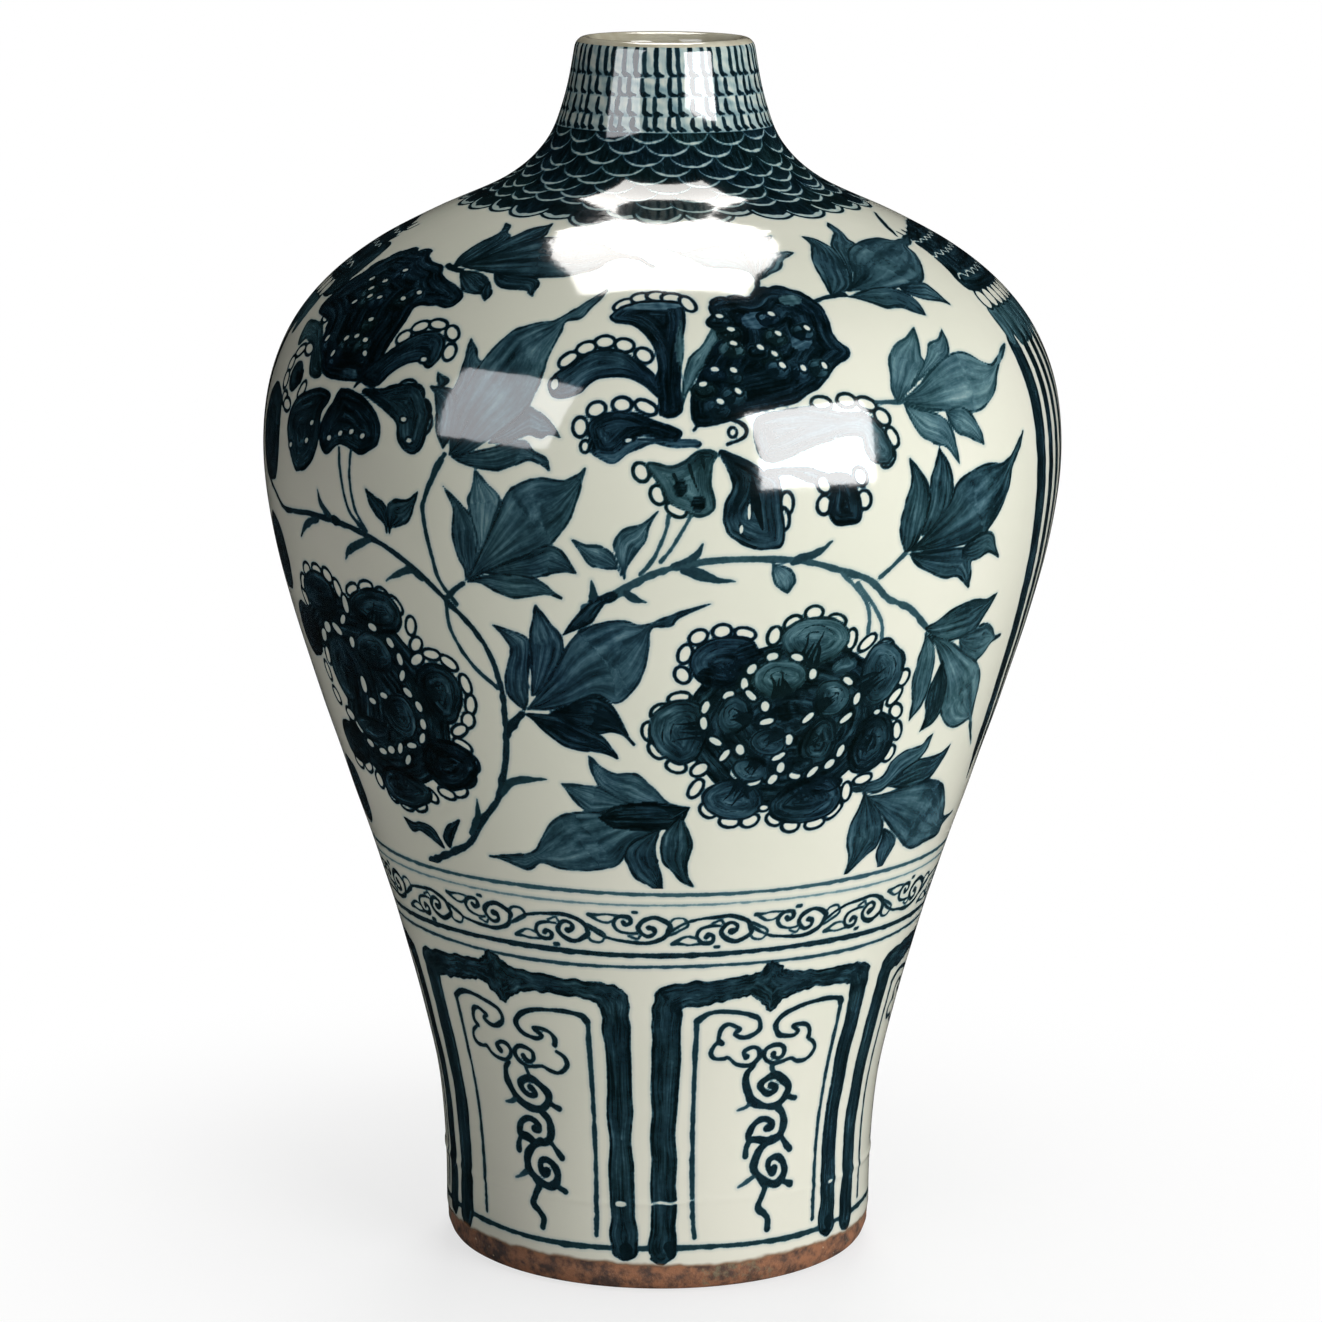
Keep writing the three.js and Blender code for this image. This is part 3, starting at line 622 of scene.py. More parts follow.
LEFT_FLOWER = (
    ((-69, 231), (11, 10), 0.72, 0.6, ()),
    ((-60.1, 247.8), (12.6, 8), 0.6, 0.6, ((-66.5, 244.4), (-65.8, 250), (-63, 255.6), (-59.4, 256.7), (-56.3, 256.1),
                                         (-54, 252.2))),
    ((-45.8, 246.7), (13, 8.3), 0.6, 0.55, ((-52.7, 247.2), (-50.2, 253.3), (-46.8, 255.6), (-43.5, 253.9),
                                          (-41, 251.1), (-38.7, 244.4), (-38.4, 237.8))),
    ((-36.1, 221), (9.8, 11), 0.62, 0.6, ((-38.9, 232.2), (-35.8, 235), (-32.8, 232.8), (-30.5, 225.6), (-30.2, 218.3),
                                         (-31.2, 212.2), (-33.3, 207.8))),
    ((-37.6, 194.4), (12.5, 10), 0.84, 0.6, ((-33.3, 202.2), (-32, 195.6), (-33.5, 188.9), (-36.1, 183.9),
                                           (-39.2, 182.2), (-43.3, 180))),
    ((-50.4, 181.1), (13.5, 8), 0.64, 0.6, ((-58.4, 180), (-55, 175.6), (-51.2, 173.3), (-47.1, 174.4))),
    ((-63.7, 192.2), (10, 8), 0.66, 0.6, ((-61.4, 183.9), (-65.5, 183.9))),
    ((-58.8, 221), (9, 13), 0.6, 0.55, ((-62.7, 232.2), (-60.4, 236.1), (-57.1, 236.7), (-63.7, 224.4), (-66, 217.8),
                                       (-65.5, 208.9), (-61.7, 203.3), (-53.5, 217.8))),
)
LEFT_FLOWER_INSIDE = (
    ((-48.4, 231.1), (9.8, 7.8), 0.58, 0.55, ((-47.1, 241.1), (-43.8, 236.7), (-42.5, 231.1), (-42.8, 225),
                                            (-53.5, 233.3), (-54.5, 241.1))),
    ((-46.2, 209.5), (9, 8.3), 0.6, 0.5, ((-42.5, 218.9), (-40.7, 214.4), (-40.7, 207.8), (-41.7, 202.2),
                                        (-44.8, 198.3))),
    ((-54.5, 201.1), (10.8, 5), 0.58, 0.5, ((-57.3, 194.4), (-53.7, 192.8), (-50.9, 194.4), (-46.8, 192.2),
                                          (-59.6, 199.4), (-48.1, 196.1))),
)


def round_flower(outside, inside, heart, seed):
    body([middle for middle, *_ in outside], (), 0.78, 0.5, seed, field)
    for number, (middle, size, tone, hue, beads) in enumerate(outside):
        round_petal(middle, size, tone, hue, beads, heart, seed + number)
    for number, (middle, size, tone, hue, beads) in enumerate(inside):
        round_petal(middle, size, tone, hue, beads, heart, seed + 20 + number, (2.7, 1.7))


round_flower(ROUND_FLOWER, ROUND_FLOWER_INSIDE, (19, 213), 100)
patch((12.6, 241), (4.2, 3.6), 0.3, 0.9, 0.85, 1)
patch((6.3, 231.5), (2.6, 4.4), -0.3, 0.86, 0.85, 2)
patch((19.4, 218.9), (3.6, 3.2), 0, 0.86, 0.5, 3)
blot((26.3, 232), ((26, 234.5),), (27.9, 237.3), ((29, 232.4), (29.6, 235)), 0.4, 0.3, 140, field, 0.7)
for spot in ((35.4, 215.1), (17.6, 182.8)):
    bare_spot(spot, (1.7, 1.2))
stroke(((27, 186.5), (30.4, 187.6), (31, 190.8), (28.2, 192), (27, 190)), (0.6, 1.4, 1.2, 0.8), 0.9, field, 0.7)
round_flower(LEFT_FLOWER, LEFT_FLOWER_INSIDE, (-50, 215), 160)
for spot in ((-52.2, 212.2), (-48.6, 215.6)):
    bare_spot(spot, (2.2, 1.5))


def crest(outline, edge, spots, heart, tone, seed):
    """The thick middle of an open flower: small petals behind one another, each with a bead on its rim."""
    body(outline, edge, tone, 0.75, seed, field, heart, (3.0, 1.95))
    k = mm_per_degree(heart[1])

    def far(spot):
        return math.hypot((spot[0] - heart[0]) * k, spot[1] - heart[1])

    for number, spot in enumerate(sorted(spots, key=far, reverse=True)):
        share = 2.6 / max(far(spot), 3)
        middle = (spot[0] + (heart[0] - spot[0]) * share, spot[1] + (heart[1] - spot[1]) * share)
        shade = tone - 0.22 + 0.16 * math.sin(number * 2.4 + seed)
        round_petal(middle, (4.0, 3.2), shade, 0.5 + 0.4 * math.sin(number * 1.7), (), heart, seed + number)
        bare_spot(spot, (1.7, 1.2), math.atan2(spot[1] - heart[1], (spot[0] - heart[0]) * k) + math.pi / 2)


# the open flower in the middle
crest(((7.7, 359.2), (9.5, 362), (12.5, 363), (15, 362), (17.2, 366), (20.7, 367), (24.5, 364), (27, 357), (27, 350),
       (27, 345), (28.5, 339), (25.4, 334.2), (23.2, 329.2), (20.7, 325.8), (18.5, 323.3), (13.4, 320.8),
       (5.1, 316.7), (4, 323.3), (4.8, 330), (6.2, 336.7), (7.7, 342.5), (9.1, 346.7), (8.4, 351.7)),
      ((9.5, 360.8), (12.5, 361.7), (14.9, 360.8), (17.2, 364.6), (20.7, 365.4), (23.9, 362.5), (25.9, 356.3),
       (26.1, 350), (26.1, 345), (27.4, 338.8)),
      ((9.1, 355), (17.8, 355.4), (10.6, 349.6), (10.7, 344.2), (14.7, 342.5), (18, 347.5), (23, 349.2),
       (16.7, 340), (17.6, 335.8), (20.7, 334.6), (24.1, 335), (10.2, 334.6), (5.7, 330), (7.5, 335),
       (10.6, 327.5), (8, 324.2)), (6, 316), 0.8, 200)
patch((14.9, 353), (4.5, 3), 0.2, 0.42, 0.9, 4)
patch((21.4, 344), (3.5, 2.6), 0.4, 0.45, 0.9, 5)
patch((22, 361), (3.6, 2), 0, 0.4, 0.1, 6)
body(((13, 318), (20, 321), (26.1, 318.8), (28.6, 318.3), (30.8, 315), (32.2, 310), (32.9, 305), (31.9, 301.7),
      (29.7, 302.9), (28.6, 306.7), (27.5, 311.7), (22, 310), (14, 305)),
     ((22.5, 322.5), (26.4, 322.9), (29.5, 321.3), (31.7, 316.7), (32.9, 310), (32, 303.3)), 0.5, 0.2, 230, field,
     (8, 314))
body(((2.5, 322), (3.2, 333.3), (4.1, 339.2), (6.2, 344.2), (7.7, 350), (8.4, 345.8), (7.3, 342.5), (6.2, 337.5),
      (4.8, 332.5), (3.3, 326.7)), (), 0.36, 0.1, 231, field, edge=0.8)
body(((-0.1, 320), (-0.6, 330), (-0.7, 338), (-1.8, 345), (-4.2, 351), (-7.5, 352.5), (-8.4, 355), (-6.5, 359),
      (-4, 361), (-1, 361.5), (2, 361), (3.3, 358), (3.2, 349), (2.7, 341), (2.3, 330), (2.5, 321)),
     ((-6.6, 359.6), (-3.7, 362.9), (-1, 363.8), (1.5, 362.9), (4.1, 360.4)), 0.74, 0.8, 232, field, (1, 322))
patch((-2, 359.6), (9.5, 1.7), 0.05, 0.36, 0.85, 7)
blot((2.6, 334), ((2, 343),), (2.8, 353), ((3.1, 343),), 0.36, 0.1, 233, field, 0.5)
body(((-15.4, 332.3), (-13.5, 335.9), (-11.9, 339.1), (-9.9, 341.2), (-7.7, 341.6), (-5.5, 340.5), (-3.6, 337.6),
      (-2, 334.4), (-1, 331.6), (0, 325.1), (-0.7, 325.9), (-2.3, 329.1), (-4.2, 331.6), (-6.4, 332.6), (-8.7, 331.9),
      (-10.6, 329.4), (-11.9, 326.6), (-13.5, 324.8), (-15.1, 325.1), (-16, 328)),
     ((-13.9, 337.6), (-11.5, 341.9), (-8.8, 344.4), (-5.8, 343.4), (-2.8, 339.8)), 0.6, 0.85, 234, field, (1, 322))
bare_spot((-15.4, 329), (1.6, 2.2))
body(((-9.6, 310.9), (-10.1, 315.9), (-9, 318.7), (-6.8, 320.5), (-4.2, 320.5), (-2.3, 318.7), (-0.4, 317.3),
      (2.5, 314.4), (1.2, 311.6), (-1.6, 313.4), (-3.9, 312.3), (-5.5, 308.7), (-7.1, 306.6), (-8.7, 307.3)),
     ((-11.2, 315.5), (-9.1, 321.2), (-5.6, 323), (-2.3, 322.3)), 0.7, 0.85, 235, field, (4, 314))
bare_spot((-10.4, 309.4), (1.3, 1.8))
bare_spot((-4.5, 311.6), (1.6, 1.1))
body(((-9.5, 308), (-6.8, 304.4), (-4.8, 307.3), (-2.6, 310.1), (-0.7, 310.9), (1.6, 309.8), (4.8, 310.1),
      (4.6, 311.8), (1.2, 311.9), (-1.6, 312.2), (-4, 311.4), (-6.4, 307.8)), (), 0.42, 0.8, 236, field, edge=0.9)
body(((-2.1, 304.2), (-0.3, 297.5), (0.8, 292.5), (3, 289.6), (4.8, 287.9), (6.6, 289.2), (6.9, 292.5), (6.4, 297.5),
      (6.6, 303.3), (7.3, 307.5), (4.8, 308.3), (3, 305), (1.2, 303.3), (-0.6, 304.2)),
     ((-2.8, 301.7), (-0.5, 294.6), (1.9, 290)), 0.4, 0.1, 237, field, (6, 310))
for path in (((1.5, 301), (2.6, 296), (4.2, 291)), ((3.6, 304), (4.4, 298), (5.4, 292)), ((5.4, 306), (5.8, 300))):
    stroke(path, (1.6, 0.9, 0.4), 0.8, field, 0.2)
patch((2.4, 296.7), (1.7, 2.4), 0, 0.84, 0.4, 8)
patch((4.8, 291.7), (1.8, 2.2), 0, 0.84, 0.4, 9)
body(((7.7, 308.3), (9.1, 300.8), (9.5, 296.7), (8.4, 290.8), (8.4, 285), (9.5, 280.8), (12, 277.5), (14.9, 276.7),
      (16.5, 279.2), (16, 290), (15.6, 298.3), (13.4, 301.7), (11.3, 305)),
     ((16.8, 291.3), (16.3, 286.3), (15.1, 280.4)), 0.55, 0.6, 238, field, (8, 310))
stroke(((12, 300), (12.6, 291), (13.5, 283)), (1.2, 3.6, 1.0), 0.9, field, 0.7)
bare_spot((11.6, 289), (0.7, 2.9), 0, 0.6, 0.6)
bare_spot((10.6, 283.3), (0.8, 1.6), 0, 0.6, 0.6)
body(((14.5, 300.2), (17.8, 300.2), (20.7, 297), (22.8, 299.2), (20.5, 301.6), (17.8, 302.4), (14.2, 302)), (), 0.6, 0.5,
     239, field, edge=0.8)
body(((22.5, 299.2), (25.4, 299.2), (26.4, 296.7), (27.5, 290), (27.5, 284.2), (25.4, 283.3), (23.6, 284.2),
      (22.8, 288.3), (23.2, 295)), ((27.5, 298.3), (28.1, 290.8), (22.1, 296.7), (22.1, 290)), 0.76, 0.7, 240, field)
patch((7.7, 314.2), (3.8, 3.6), 0, 0.5, 0.7, 10)
bare_spot((9.5, 314.2), (1.2, 1.4))
stroke(((4.2, 315), (5.6, 318.2), (8.4, 318.8), (11, 316.6), (11.2, 313), (8.8, 310.4)), (0.8, 1.3, 1.0), 0.9, field, 0.7)

# the open flower at the left
crest(((-67.7, 364.8), (-65.7, 372.5), (-62.2, 377.1), (-58.8, 377.1), (-54.7, 377.8), (-51.9, 374), (-46.7, 371.7),
       (-44, 367.1), (-38.8, 363.2), (-36.4, 359.4), (-37.1, 354.8), (-40.5, 354.4), (-44.7, 353.2), (-44.8, 345.5),
       (-45.7, 334), (-46.7, 325.5), (-56.7, 323.2), (-62.2, 330.2), (-64.6, 340.9), (-71.9, 344), (-71.2, 353.2)),
      ((-67, 366.3), (-64.3, 372.5), (-60.9, 376.3), (-56.2, 377.1), (-52.6, 372.8), (-47.3, 370.2), (-44.5, 364.8),
       (-42.8, 361.7), (-40, 361.3), (-37.6, 357.8), (-66.7, 359.4), (-69.5, 355.2), (-70.8, 347.1), (-66.7, 342.1),
       (-63.4, 340.5)),
      ((-55.3, 367.5), (-62.7, 360.9), (-57.8, 361.3), (-58.1, 354), (-55, 354.4), (-59.8, 357.1), (-61.2, 350.5),
       (-46.2, 359), (-48.8, 355.5), (-52.9, 345.5), (-53.8, 338.6), (-51.2, 337.8), (-56.2, 337.1), (-57.8, 330.9),
       (-61.7, 335.5), (-49.8, 333.2)), (-51.6, 324.4), 0.76, 260)
body(((-73.2, 337.8), (-70.8, 339.4), (-65.7, 338.6), (-62.2, 331.7), (-58.8, 323.2), (-62.2, 322.5), (-65, 330.2),
      (-69.1, 333.2), (-71.5, 330.2)), (), 0.4, 0.1, 290, field, (-54, 322))
round_petal((-66.7, 320.2), (5.6, 5.0), 0.6, 0.5, ((-66, 330.2), (-69.1, 328.6), (-70.8, 323.2), (-70.8, 317.8),
                                                  (-69.1, 311.7), (-67.7, 310.2), (-63.3, 316.3)), (-54, 322), 291)
body(((-45, 323.2), (-42.6, 328.6), (-38.8, 333.2), (-36.1, 331.7), (-34.7, 334.8), (-35, 340.9), (-37.1, 344),
      (-40.2, 343.2), (-43, 338.6), (-45, 334), (-49, 325)),
     ((-43.1, 340.9), (-40.9, 345.5), (-37.6, 347.1), (-34.2, 344.4), (-33.3, 337.5)), 0.62, 0.7, 292, field, (-49, 324))
bare_spot((-37.4, 334), (1.6, 1.2))
body(((-47.4, 320.9), (-43.3, 322.5), (-39.5, 324.8), (-37.1, 324.8), (-35, 320.2), (-34, 315.5), (-34.7, 305.5),
      (-36.4, 303.2), (-38.5, 306.3), (-39.5, 312.5), (-42.6, 316.3)),
     ((-38.8, 324.4), (-36.8, 322.5), (-35, 317.8), (-34.3, 313.2), (-35.2, 307.8)), 0.6, 0.6, 293, field, (-49, 321))
for spot in ((-36.8, 307.1), (-38.3, 313.6)):
    bare_spot(spot, (1.5, 1.1))
body(((-54.7, 317.1), (-56, 310.2), (-56, 300.9), (-57.8, 294), (-60.5, 290.9), (-62.6, 290.5), (-64.6, 296.3),
      (-66, 304), (-64.6, 312.5), (-60.5, 317.1), (-57.4, 318.6)), ((-65, 304), (-62.1, 293.2), (-59.8, 294.8)), 0.62, 0.5,
     294, field, (-54, 321))
body(((-52.2, 320.2), (-48.5, 319.4), (-45, 316.3), (-42.6, 310.9), (-42.6, 304.8), (-45.4, 300.9), (-47.8, 301.7),
      (-50.5, 302.5), (-53.6, 298.6), (-55.3, 301.7), (-55.3, 308.6), (-53.6, 314.8)), (), 0.66, 0.7, 295, field,
     (-50, 322))
for spot in ((-45.7, 306.3), (-48.1, 307.1), (-50.5, 305.9), (-53.1, 303.6), (-64.3, 297.8), (-59.1, 300.9),
             (-58.1, 307.1)):
    bare_spot(spot, (1.6, 1.2), 0.4)
patch((-51.6, 324.4), (4.4, 3.4), 0, 0.56, 0.7, 11)
stroke(((-55.4, 323), (-53.8, 327), (-50.6, 327.8), (-48.2, 325.4), (-49.4, 321.8)), (0.8, 1.3, 1.0), 0.9, field, 0.7)

# what shows of the tail's far edge beyond the flowers at the left
for low, high, start in ((349, 377, -71.5), (283, 315, -70.5), (244, 270, -72), (158, 182, -70)):
    body(((start, low + 4), (start + 1, (low + high) / 2), (start - 0.5, high - 3), (start - 5, high), (start - 8, high - 6),
          (start - 9, (low + high) / 2), (start - 7, low + 2), (start - 3, low)), (), 0.66, 0.5, int(low), field)


# The tail of a phoenix down each flank
# A scaled body comes down from the collar, and long feathers hang from it as close dark bands.
def bare_line(points, width, panels):
    """A thin line scratched or left out of what is painted."""
    path = curve(points)
    widths = np.atleast_1d(np.asarray(width, float))
    for panel, window, turn in reached(path, widths.max() / 2 + 1, panels):
        distance, along, _, _ = measure(panel, window, path, turn)
        leave_bare(panel, window, np.interp(along, np.linspace(0, 1, len(widths)), widths) / 2 - distance)


TAIL_DRIFT = ((333, 0), (307, 0.4), (290, 0.5), (273, 1.2), (257, 1.9), (240, 2.8), (223, 3.6), (207, 4.4), (190, 5.3))
for number, (left, right) in enumerate(((65.1, 68.7), (70.8, 72.9), (75, 76.9), (79.1, 81.4), (83.2, 85.2),
                                        (87.5, 89.8), (91.8, 93.9), (95.9, 98))):
    drift = [(way, lag * (1 - 0.06 * number)) for way, lag in TAIL_DRIFT]
    blot(((left + right) / 2, 338), [(left + lag, way) for way, lag in drift],
         ((left + right) / 2 + drift[-1][1] + 1.2, 176), [(right + lag, way) for way, lag in drift],
         0.74, 0.5, 300 + number, field)
body(((65.2, 357), (66, 370), (68, 384), (75, 388.5), (86, 391), (96, 388), (102, 380), (104, 366), (103, 357),
      (92, 355), (78, 355)), (), 0.72, 0.5, 310, upper)
for number in range(11):
    angle = 67.2 + 3.4 * number
    body(((angle - 1.6, 348), (angle - 1.7, 340), (angle - 1, 334), (angle, 332.4), (angle + 1, 334), (angle + 1.7, 340),
          (angle + 1.6, 348)), (), 0.42, 0.15, 320 + number, field, edge=0.9)
    for panel, window, depth, _, _ in oval((angle, 351.5), (3.5, 4.4), 0, field):
        leave_bare(panel, window, depth)
        ink_line(panel, window, 0.5 - np.abs(depth), 0.8)
for level, rise in ((363, 1.2), (374, 1.0), (382, 0.8)):
    bare_line([(66 + 1.5 * k, level + rise * math.sin(k * 2.1 + level)) for k in range(25)], 0.9, upper)
    for number in range(9):
        angle = 69 + 4 * number + (level % 2) * 2
        stroke(((angle - 1.8, level + 7), (angle - 1.2, level + 3.4), (angle, level + 2.4), (angle + 1.2, level + 3.4),
                (angle + 1.8, level + 7)), 0.9, 0.95, upper)
stroke(((64, 387), (66, 391.5), (68, 395), (71, 398.5), (74, 401)), (0.8, 2.2, 2.0, 1.5, 0.8), 0.8, upper)


# The scale collar round the shoulder
# Overlapping scales, nearly black, each with a pale crescent left along its lower edge.
def half_round(seen, pitch):
    """Places round half a turn: those read off the photograph, then more between the last and the first."""
    first, last = seen[0], seen[-1]
    count = max(1, round((first[0] + 180 - last[0]) / pitch))
    step = (first[0] + 180 - last[0]) / count
    return [*seen] + [(last[0] + step * k, (first[1] + last[1]) / 2 + 0.9 * math.sin(k * 2.3 + first[1]))
                      for k in range(1, count)]


SCALE_ROWS = (
    # angle and way of each scale's lowest point, pitch in degrees, half width, height and crescent in mm
    (((-31, 404.5), (-19.5, 400.2), (-11, 406.2), (-1.5, 403.2), (13, 403.2), (21.5, 408.4), (33.6, 405)), 11.5,
     8.4, 7.4, 2.0),
    (((-29.5, 414.8), (-20, 411.6), (-2, 412.7), (10, 410.8), (21, 414), (33, 414)), 11.8, 8.2, 7.4, 1.2),
    (((-32, 418.8), (-10, 418.2), (11, 417.6), (31, 418.4)), 21.2, 8.2, 6.4, 1.1),
    (((-19, 422), (1.8, 422.3), (24.5, 421.4)), 21.2, 8.2, 6.4, 1.1),
    (((-29, 426.6), (-7, 427), (14.5, 425.6), (34, 424.6)), 21.2, 8.0, 6.2, 1.1),
    (((-18, 430.8), (3, 431), (24, 429.4)), 21.2, 7.8, 6.0, 1.0),
    (((-30, 435.6), (-9.5, 435.2), (13, 434.8), (34, 433)), 21.2, 7.6, 5.8, 1.0),
    (((-19, 440), (1.8, 439.5), (25, 438.9)), 21.2, 7.4, 5.6, 1.0),
    (((-28, 444.6), (-8, 444.2), (13, 443.9), (35, 443.3)), 21.2, 7.2, 5.4, 0.9),
)
for panel in collar + neck:
    way = panel.way[:, None] + 0 * panel.angle[None, :]
    dusk = 0.86 + 0.05 * waver(panel.angle[None, :] * 0.3 + way * 0.4, 21)
    solid = np.minimum(way - 411.5, 449.2 + 0.3 * waver(panel.angle[None, :] * 0.25, 23) - way)
    cover(panel, (slice(None), slice(None)), solid, dusk, 0.45 + 0.25 * waver(panel.angle[None, :] * 0.07, 24), way, 0.0)
for row, (seen, pitch, half, high, crescent) in enumerate(SCALE_ROWS):
    for number, (angle, low) in enumerate(half_round(seen, pitch)):
        sway = math.sin(number * 2.1 + row * 1.7)
        wide = half * (1 + 0.05 * sway)
        for panel, window, depth, u, v in oval((angle, low + high), (wide, high), 0.04 * sway, upper):
            down = v < 0.5 * high
            shade = 0.86 - 0.12 * np.exp(-((v + 0.62 * high) ** 2) / 4) + 0.05 * waver(u * 1.4 + v, number + 7 * row)
            hue = 0.45 + 0.3 * math.sin(number * 1.3 + row)
            cover(panel, window, np.where(down, depth, -9), np.clip(shade, 0.6, 0.95), hue, u, v + number * 13)
            thick = crescent * np.clip(1.12 - (u / wide) ** 2, 0.15, 1) * (1 + 0.15 * waver(u * 0.6, number + row))
            rim = thick / 2 - np.abs(depth - (0.75 if row == 0 else 0.3) - thick / 2)
            panel.bare[window] = np.maximum(panel.bare[window], np.where(v < 0, rim, -9))
            if row == 0:
                ink_line(panel, window, np.where(v < 1, 0.5 - np.abs(depth - 0.2), -9), 0.82, hue)

# The comb pattern on the neck
# Four rows of brush dabs on a pale wash; each dab turns to the right at its foot and trails off.
for panel in neck + collar:
    way, angle = panel.way[:, None] + 0 * panel.angle[None, :], panel.angle[None, :]
    mist = 0.085 + 0.03 * waver(angle * 0.33 + way * 0.3, 4) + 0.03 * waver(way * 0.9 + 0.1 * angle, 5)
    for low in (448.8, 454.2, 460.6, 467.2):
        mist = mist + 0.07 * np.exp(-np.clip(way - low, 0, 9) / 1.6) * (way > low - 0.5)
    cover(panel, (slice(None), slice(None)), way - 448.8, np.clip(mist, 0.02, 0.3), 0.5, angle * 0.5, way)
for low, high, count, trail in ((448.9, 454.2, 28, 3.6), (454.2, 460.4, 25, 4.2), (460.7, 467.2, 24, 4.6),
                                (467.3, NECK_TOP + 1, 26, 4.4)):
    for k in range(count):
        angle = -178 + (k + 0.14 * math.sin(k * 1.9 + low)) * 180 / count
        sway = math.sin(k * 2.7 + low)
        top = high - 0.5 * (1 + math.sin(k * 4.1)) * (high < NECK_TOP)
        bend = low + 0.3 * (high - low)
        stroke(((angle + 0.3 * sway, top), (angle, (bend + top) / 2), (angle + 0.1, bend), (angle + 1.1, low + 0.9),
                (angle + trail, low + 0.35)), (1.2, 1.65 + 0.2 * sway, 1.5, 1.5, 0.8), 0.72 + 0.08 * sway, neck, 0.4)
        stroke(((angle + 0.3, low + 1.2), (angle + 1.3, low + 0.7)), (1.5, 1.9), 0.85, neck, 0.4)

# The scroll band
# A vine waves round the wall between two pairs of lines; under every crest it coils up, with a small coil beside it.
UNITS = 11
BAND_MIDDLE = 136
SCROLL = (  # points in mm from the unit's middle, widths in mm, strength
    (((-19, -0.7), (-15.9, 1.6), (-12.7, 3.2), (-9, 4), (-5.2, 4.5), (0, 4.9), (3.7, 4), (6.9, 2.2), (8.1, -0.5),
      (8.1, -2.6), (3.7, -5.2), (0, -4.2), (-2.1, -1.5), (-1, 1.1), (1, 2.2), (3.2, 1.1), (2.9, -0.7), (1.5, -1.3)),
     (1.0, 1.0, 1.2, 1.5, 1.7, 1.8, 1.6, 1.4, 1.3, 2.3), 0.7),
    (((8.5, 1.6), (11.5, 0), (14.2, -2.1), (12.7, -4.9), (9.5, -4.7), (8.1, -2.6)), (0.9,), 0.62),
    (((-2.7, 1.1), (-5.7, 1.1), (-9, 0.1), (-10.3, -2.6), (-8.5, -5.2), (-5.2, -5.2), (-4.6, -3.1), (-6.3, -2.1),
      (-7.1, -3.1)), (0.9, 1.1, 1.4, 1.5, 1.4, 1.7), 0.68),
    (((-5.2, 2.2), (-2.5, 3.3), (-1.5, 2)), (0.9,), 0.6),
    (((-9, -5.7), (-12.7, -6), (-15.9, -5.5), (-18.4, -5.4)), (0.8, 0.8, 1.5), 0.62),
    (((-18.4, -5.4), (-14.8, -3.1), (-12.2, -2.8), (-9.5, -4.2)), (1.3, 0.8, 0.8), 0.6),
    (((-3.8, -7.1), (-2.6, -7.1)), (1.4,), 0.6),
)


def put(points, angle, way, flip=1):
    k = mm_per_degree(way)
    return [(angle + x / k, way + flip * y) for x, y in points]


def level_line(way, width, strength, panels, drift=0.35, hue=0.4):
    points = [(-184 + 6 * i, way + drift * math.sin(i * 0.55 + way)) for i in range(62)]
    stroke(points, [width, width * 0.75, width * 1.1, width * 0.85] * 6, strength, panels, hue, 3)


level_line(150.2, 1.5, 0.42, band, 0.2, 0.2)
level_line(146.0, 0.9, 0.24, band, 0.2)
level_line(126.5, 2.0, 0.68, band)
level_line(121.7, 1.3, 0.5, band)
for unit in range(-6, 6):
    for flip, angle in ((1, 13.5 + unit * 360 / UNITS), (-1, -2.86 + unit * 360 / UNITS)):
        lift = 0.4 * math.sin(angle)
        for points, widths, strength in SCROLL:
            stroke(put(points, angle, BAND_MIDDLE + lift, flip), widths, strength, band, 0.35)

# The lappets round the foot
# Six framed panels, each with a cloud head and a hanging scroll; the thick frames were filled with a loaded brush.
LAPPETS = ((-36, 26.5, -2.6), (26, 24.7, 0), (85.4, 24.6, -1), (144.6, 24.6, 0), (203.8, 24.6, -1.5), (263, 24.6, -1))
# the frame's outside and inside, as seen on the lappet nearest the front: degrees from its middle, and way
FRAME = (
    (-27.4, 12.3), (-27.5, 30), (-27.5, 60), (-27.4, 90), (-27, 106), (-25.8, 113.2), (-19, 115.4), (-11.6, 116.3),
    (-6, 117.3), (-4, 118.6), (-2.4, 121.6), (-1.6, 121.6), (0.8, 118.8), (2.4, 117.3), (7.7, 116), (15.3, 115.1),
    (21, 115), (25.2, 113.2), (27.3, 109), (27.4, 95), (27.3, 60), (28, 30), (28.2, 13.5), (22.7, 13.5), (22.4, 30),
    (22.1, 60), (22.1, 95), (21.6, 105.4), (19.1, 108), (13.4, 109.2), (7.7, 109), (4, 107.8), (1.3, 105.4),
    (-0.6, 102.3), (-2.5, 105.4), (-5.2, 109), (-7.8, 109.2), (-11.6, 108), (-16.2, 106.6), (-20.4, 105.8),
    (-21.2, 100), (-21.5, 60), (-21.5, 30), (-21.8, 12.6),
)
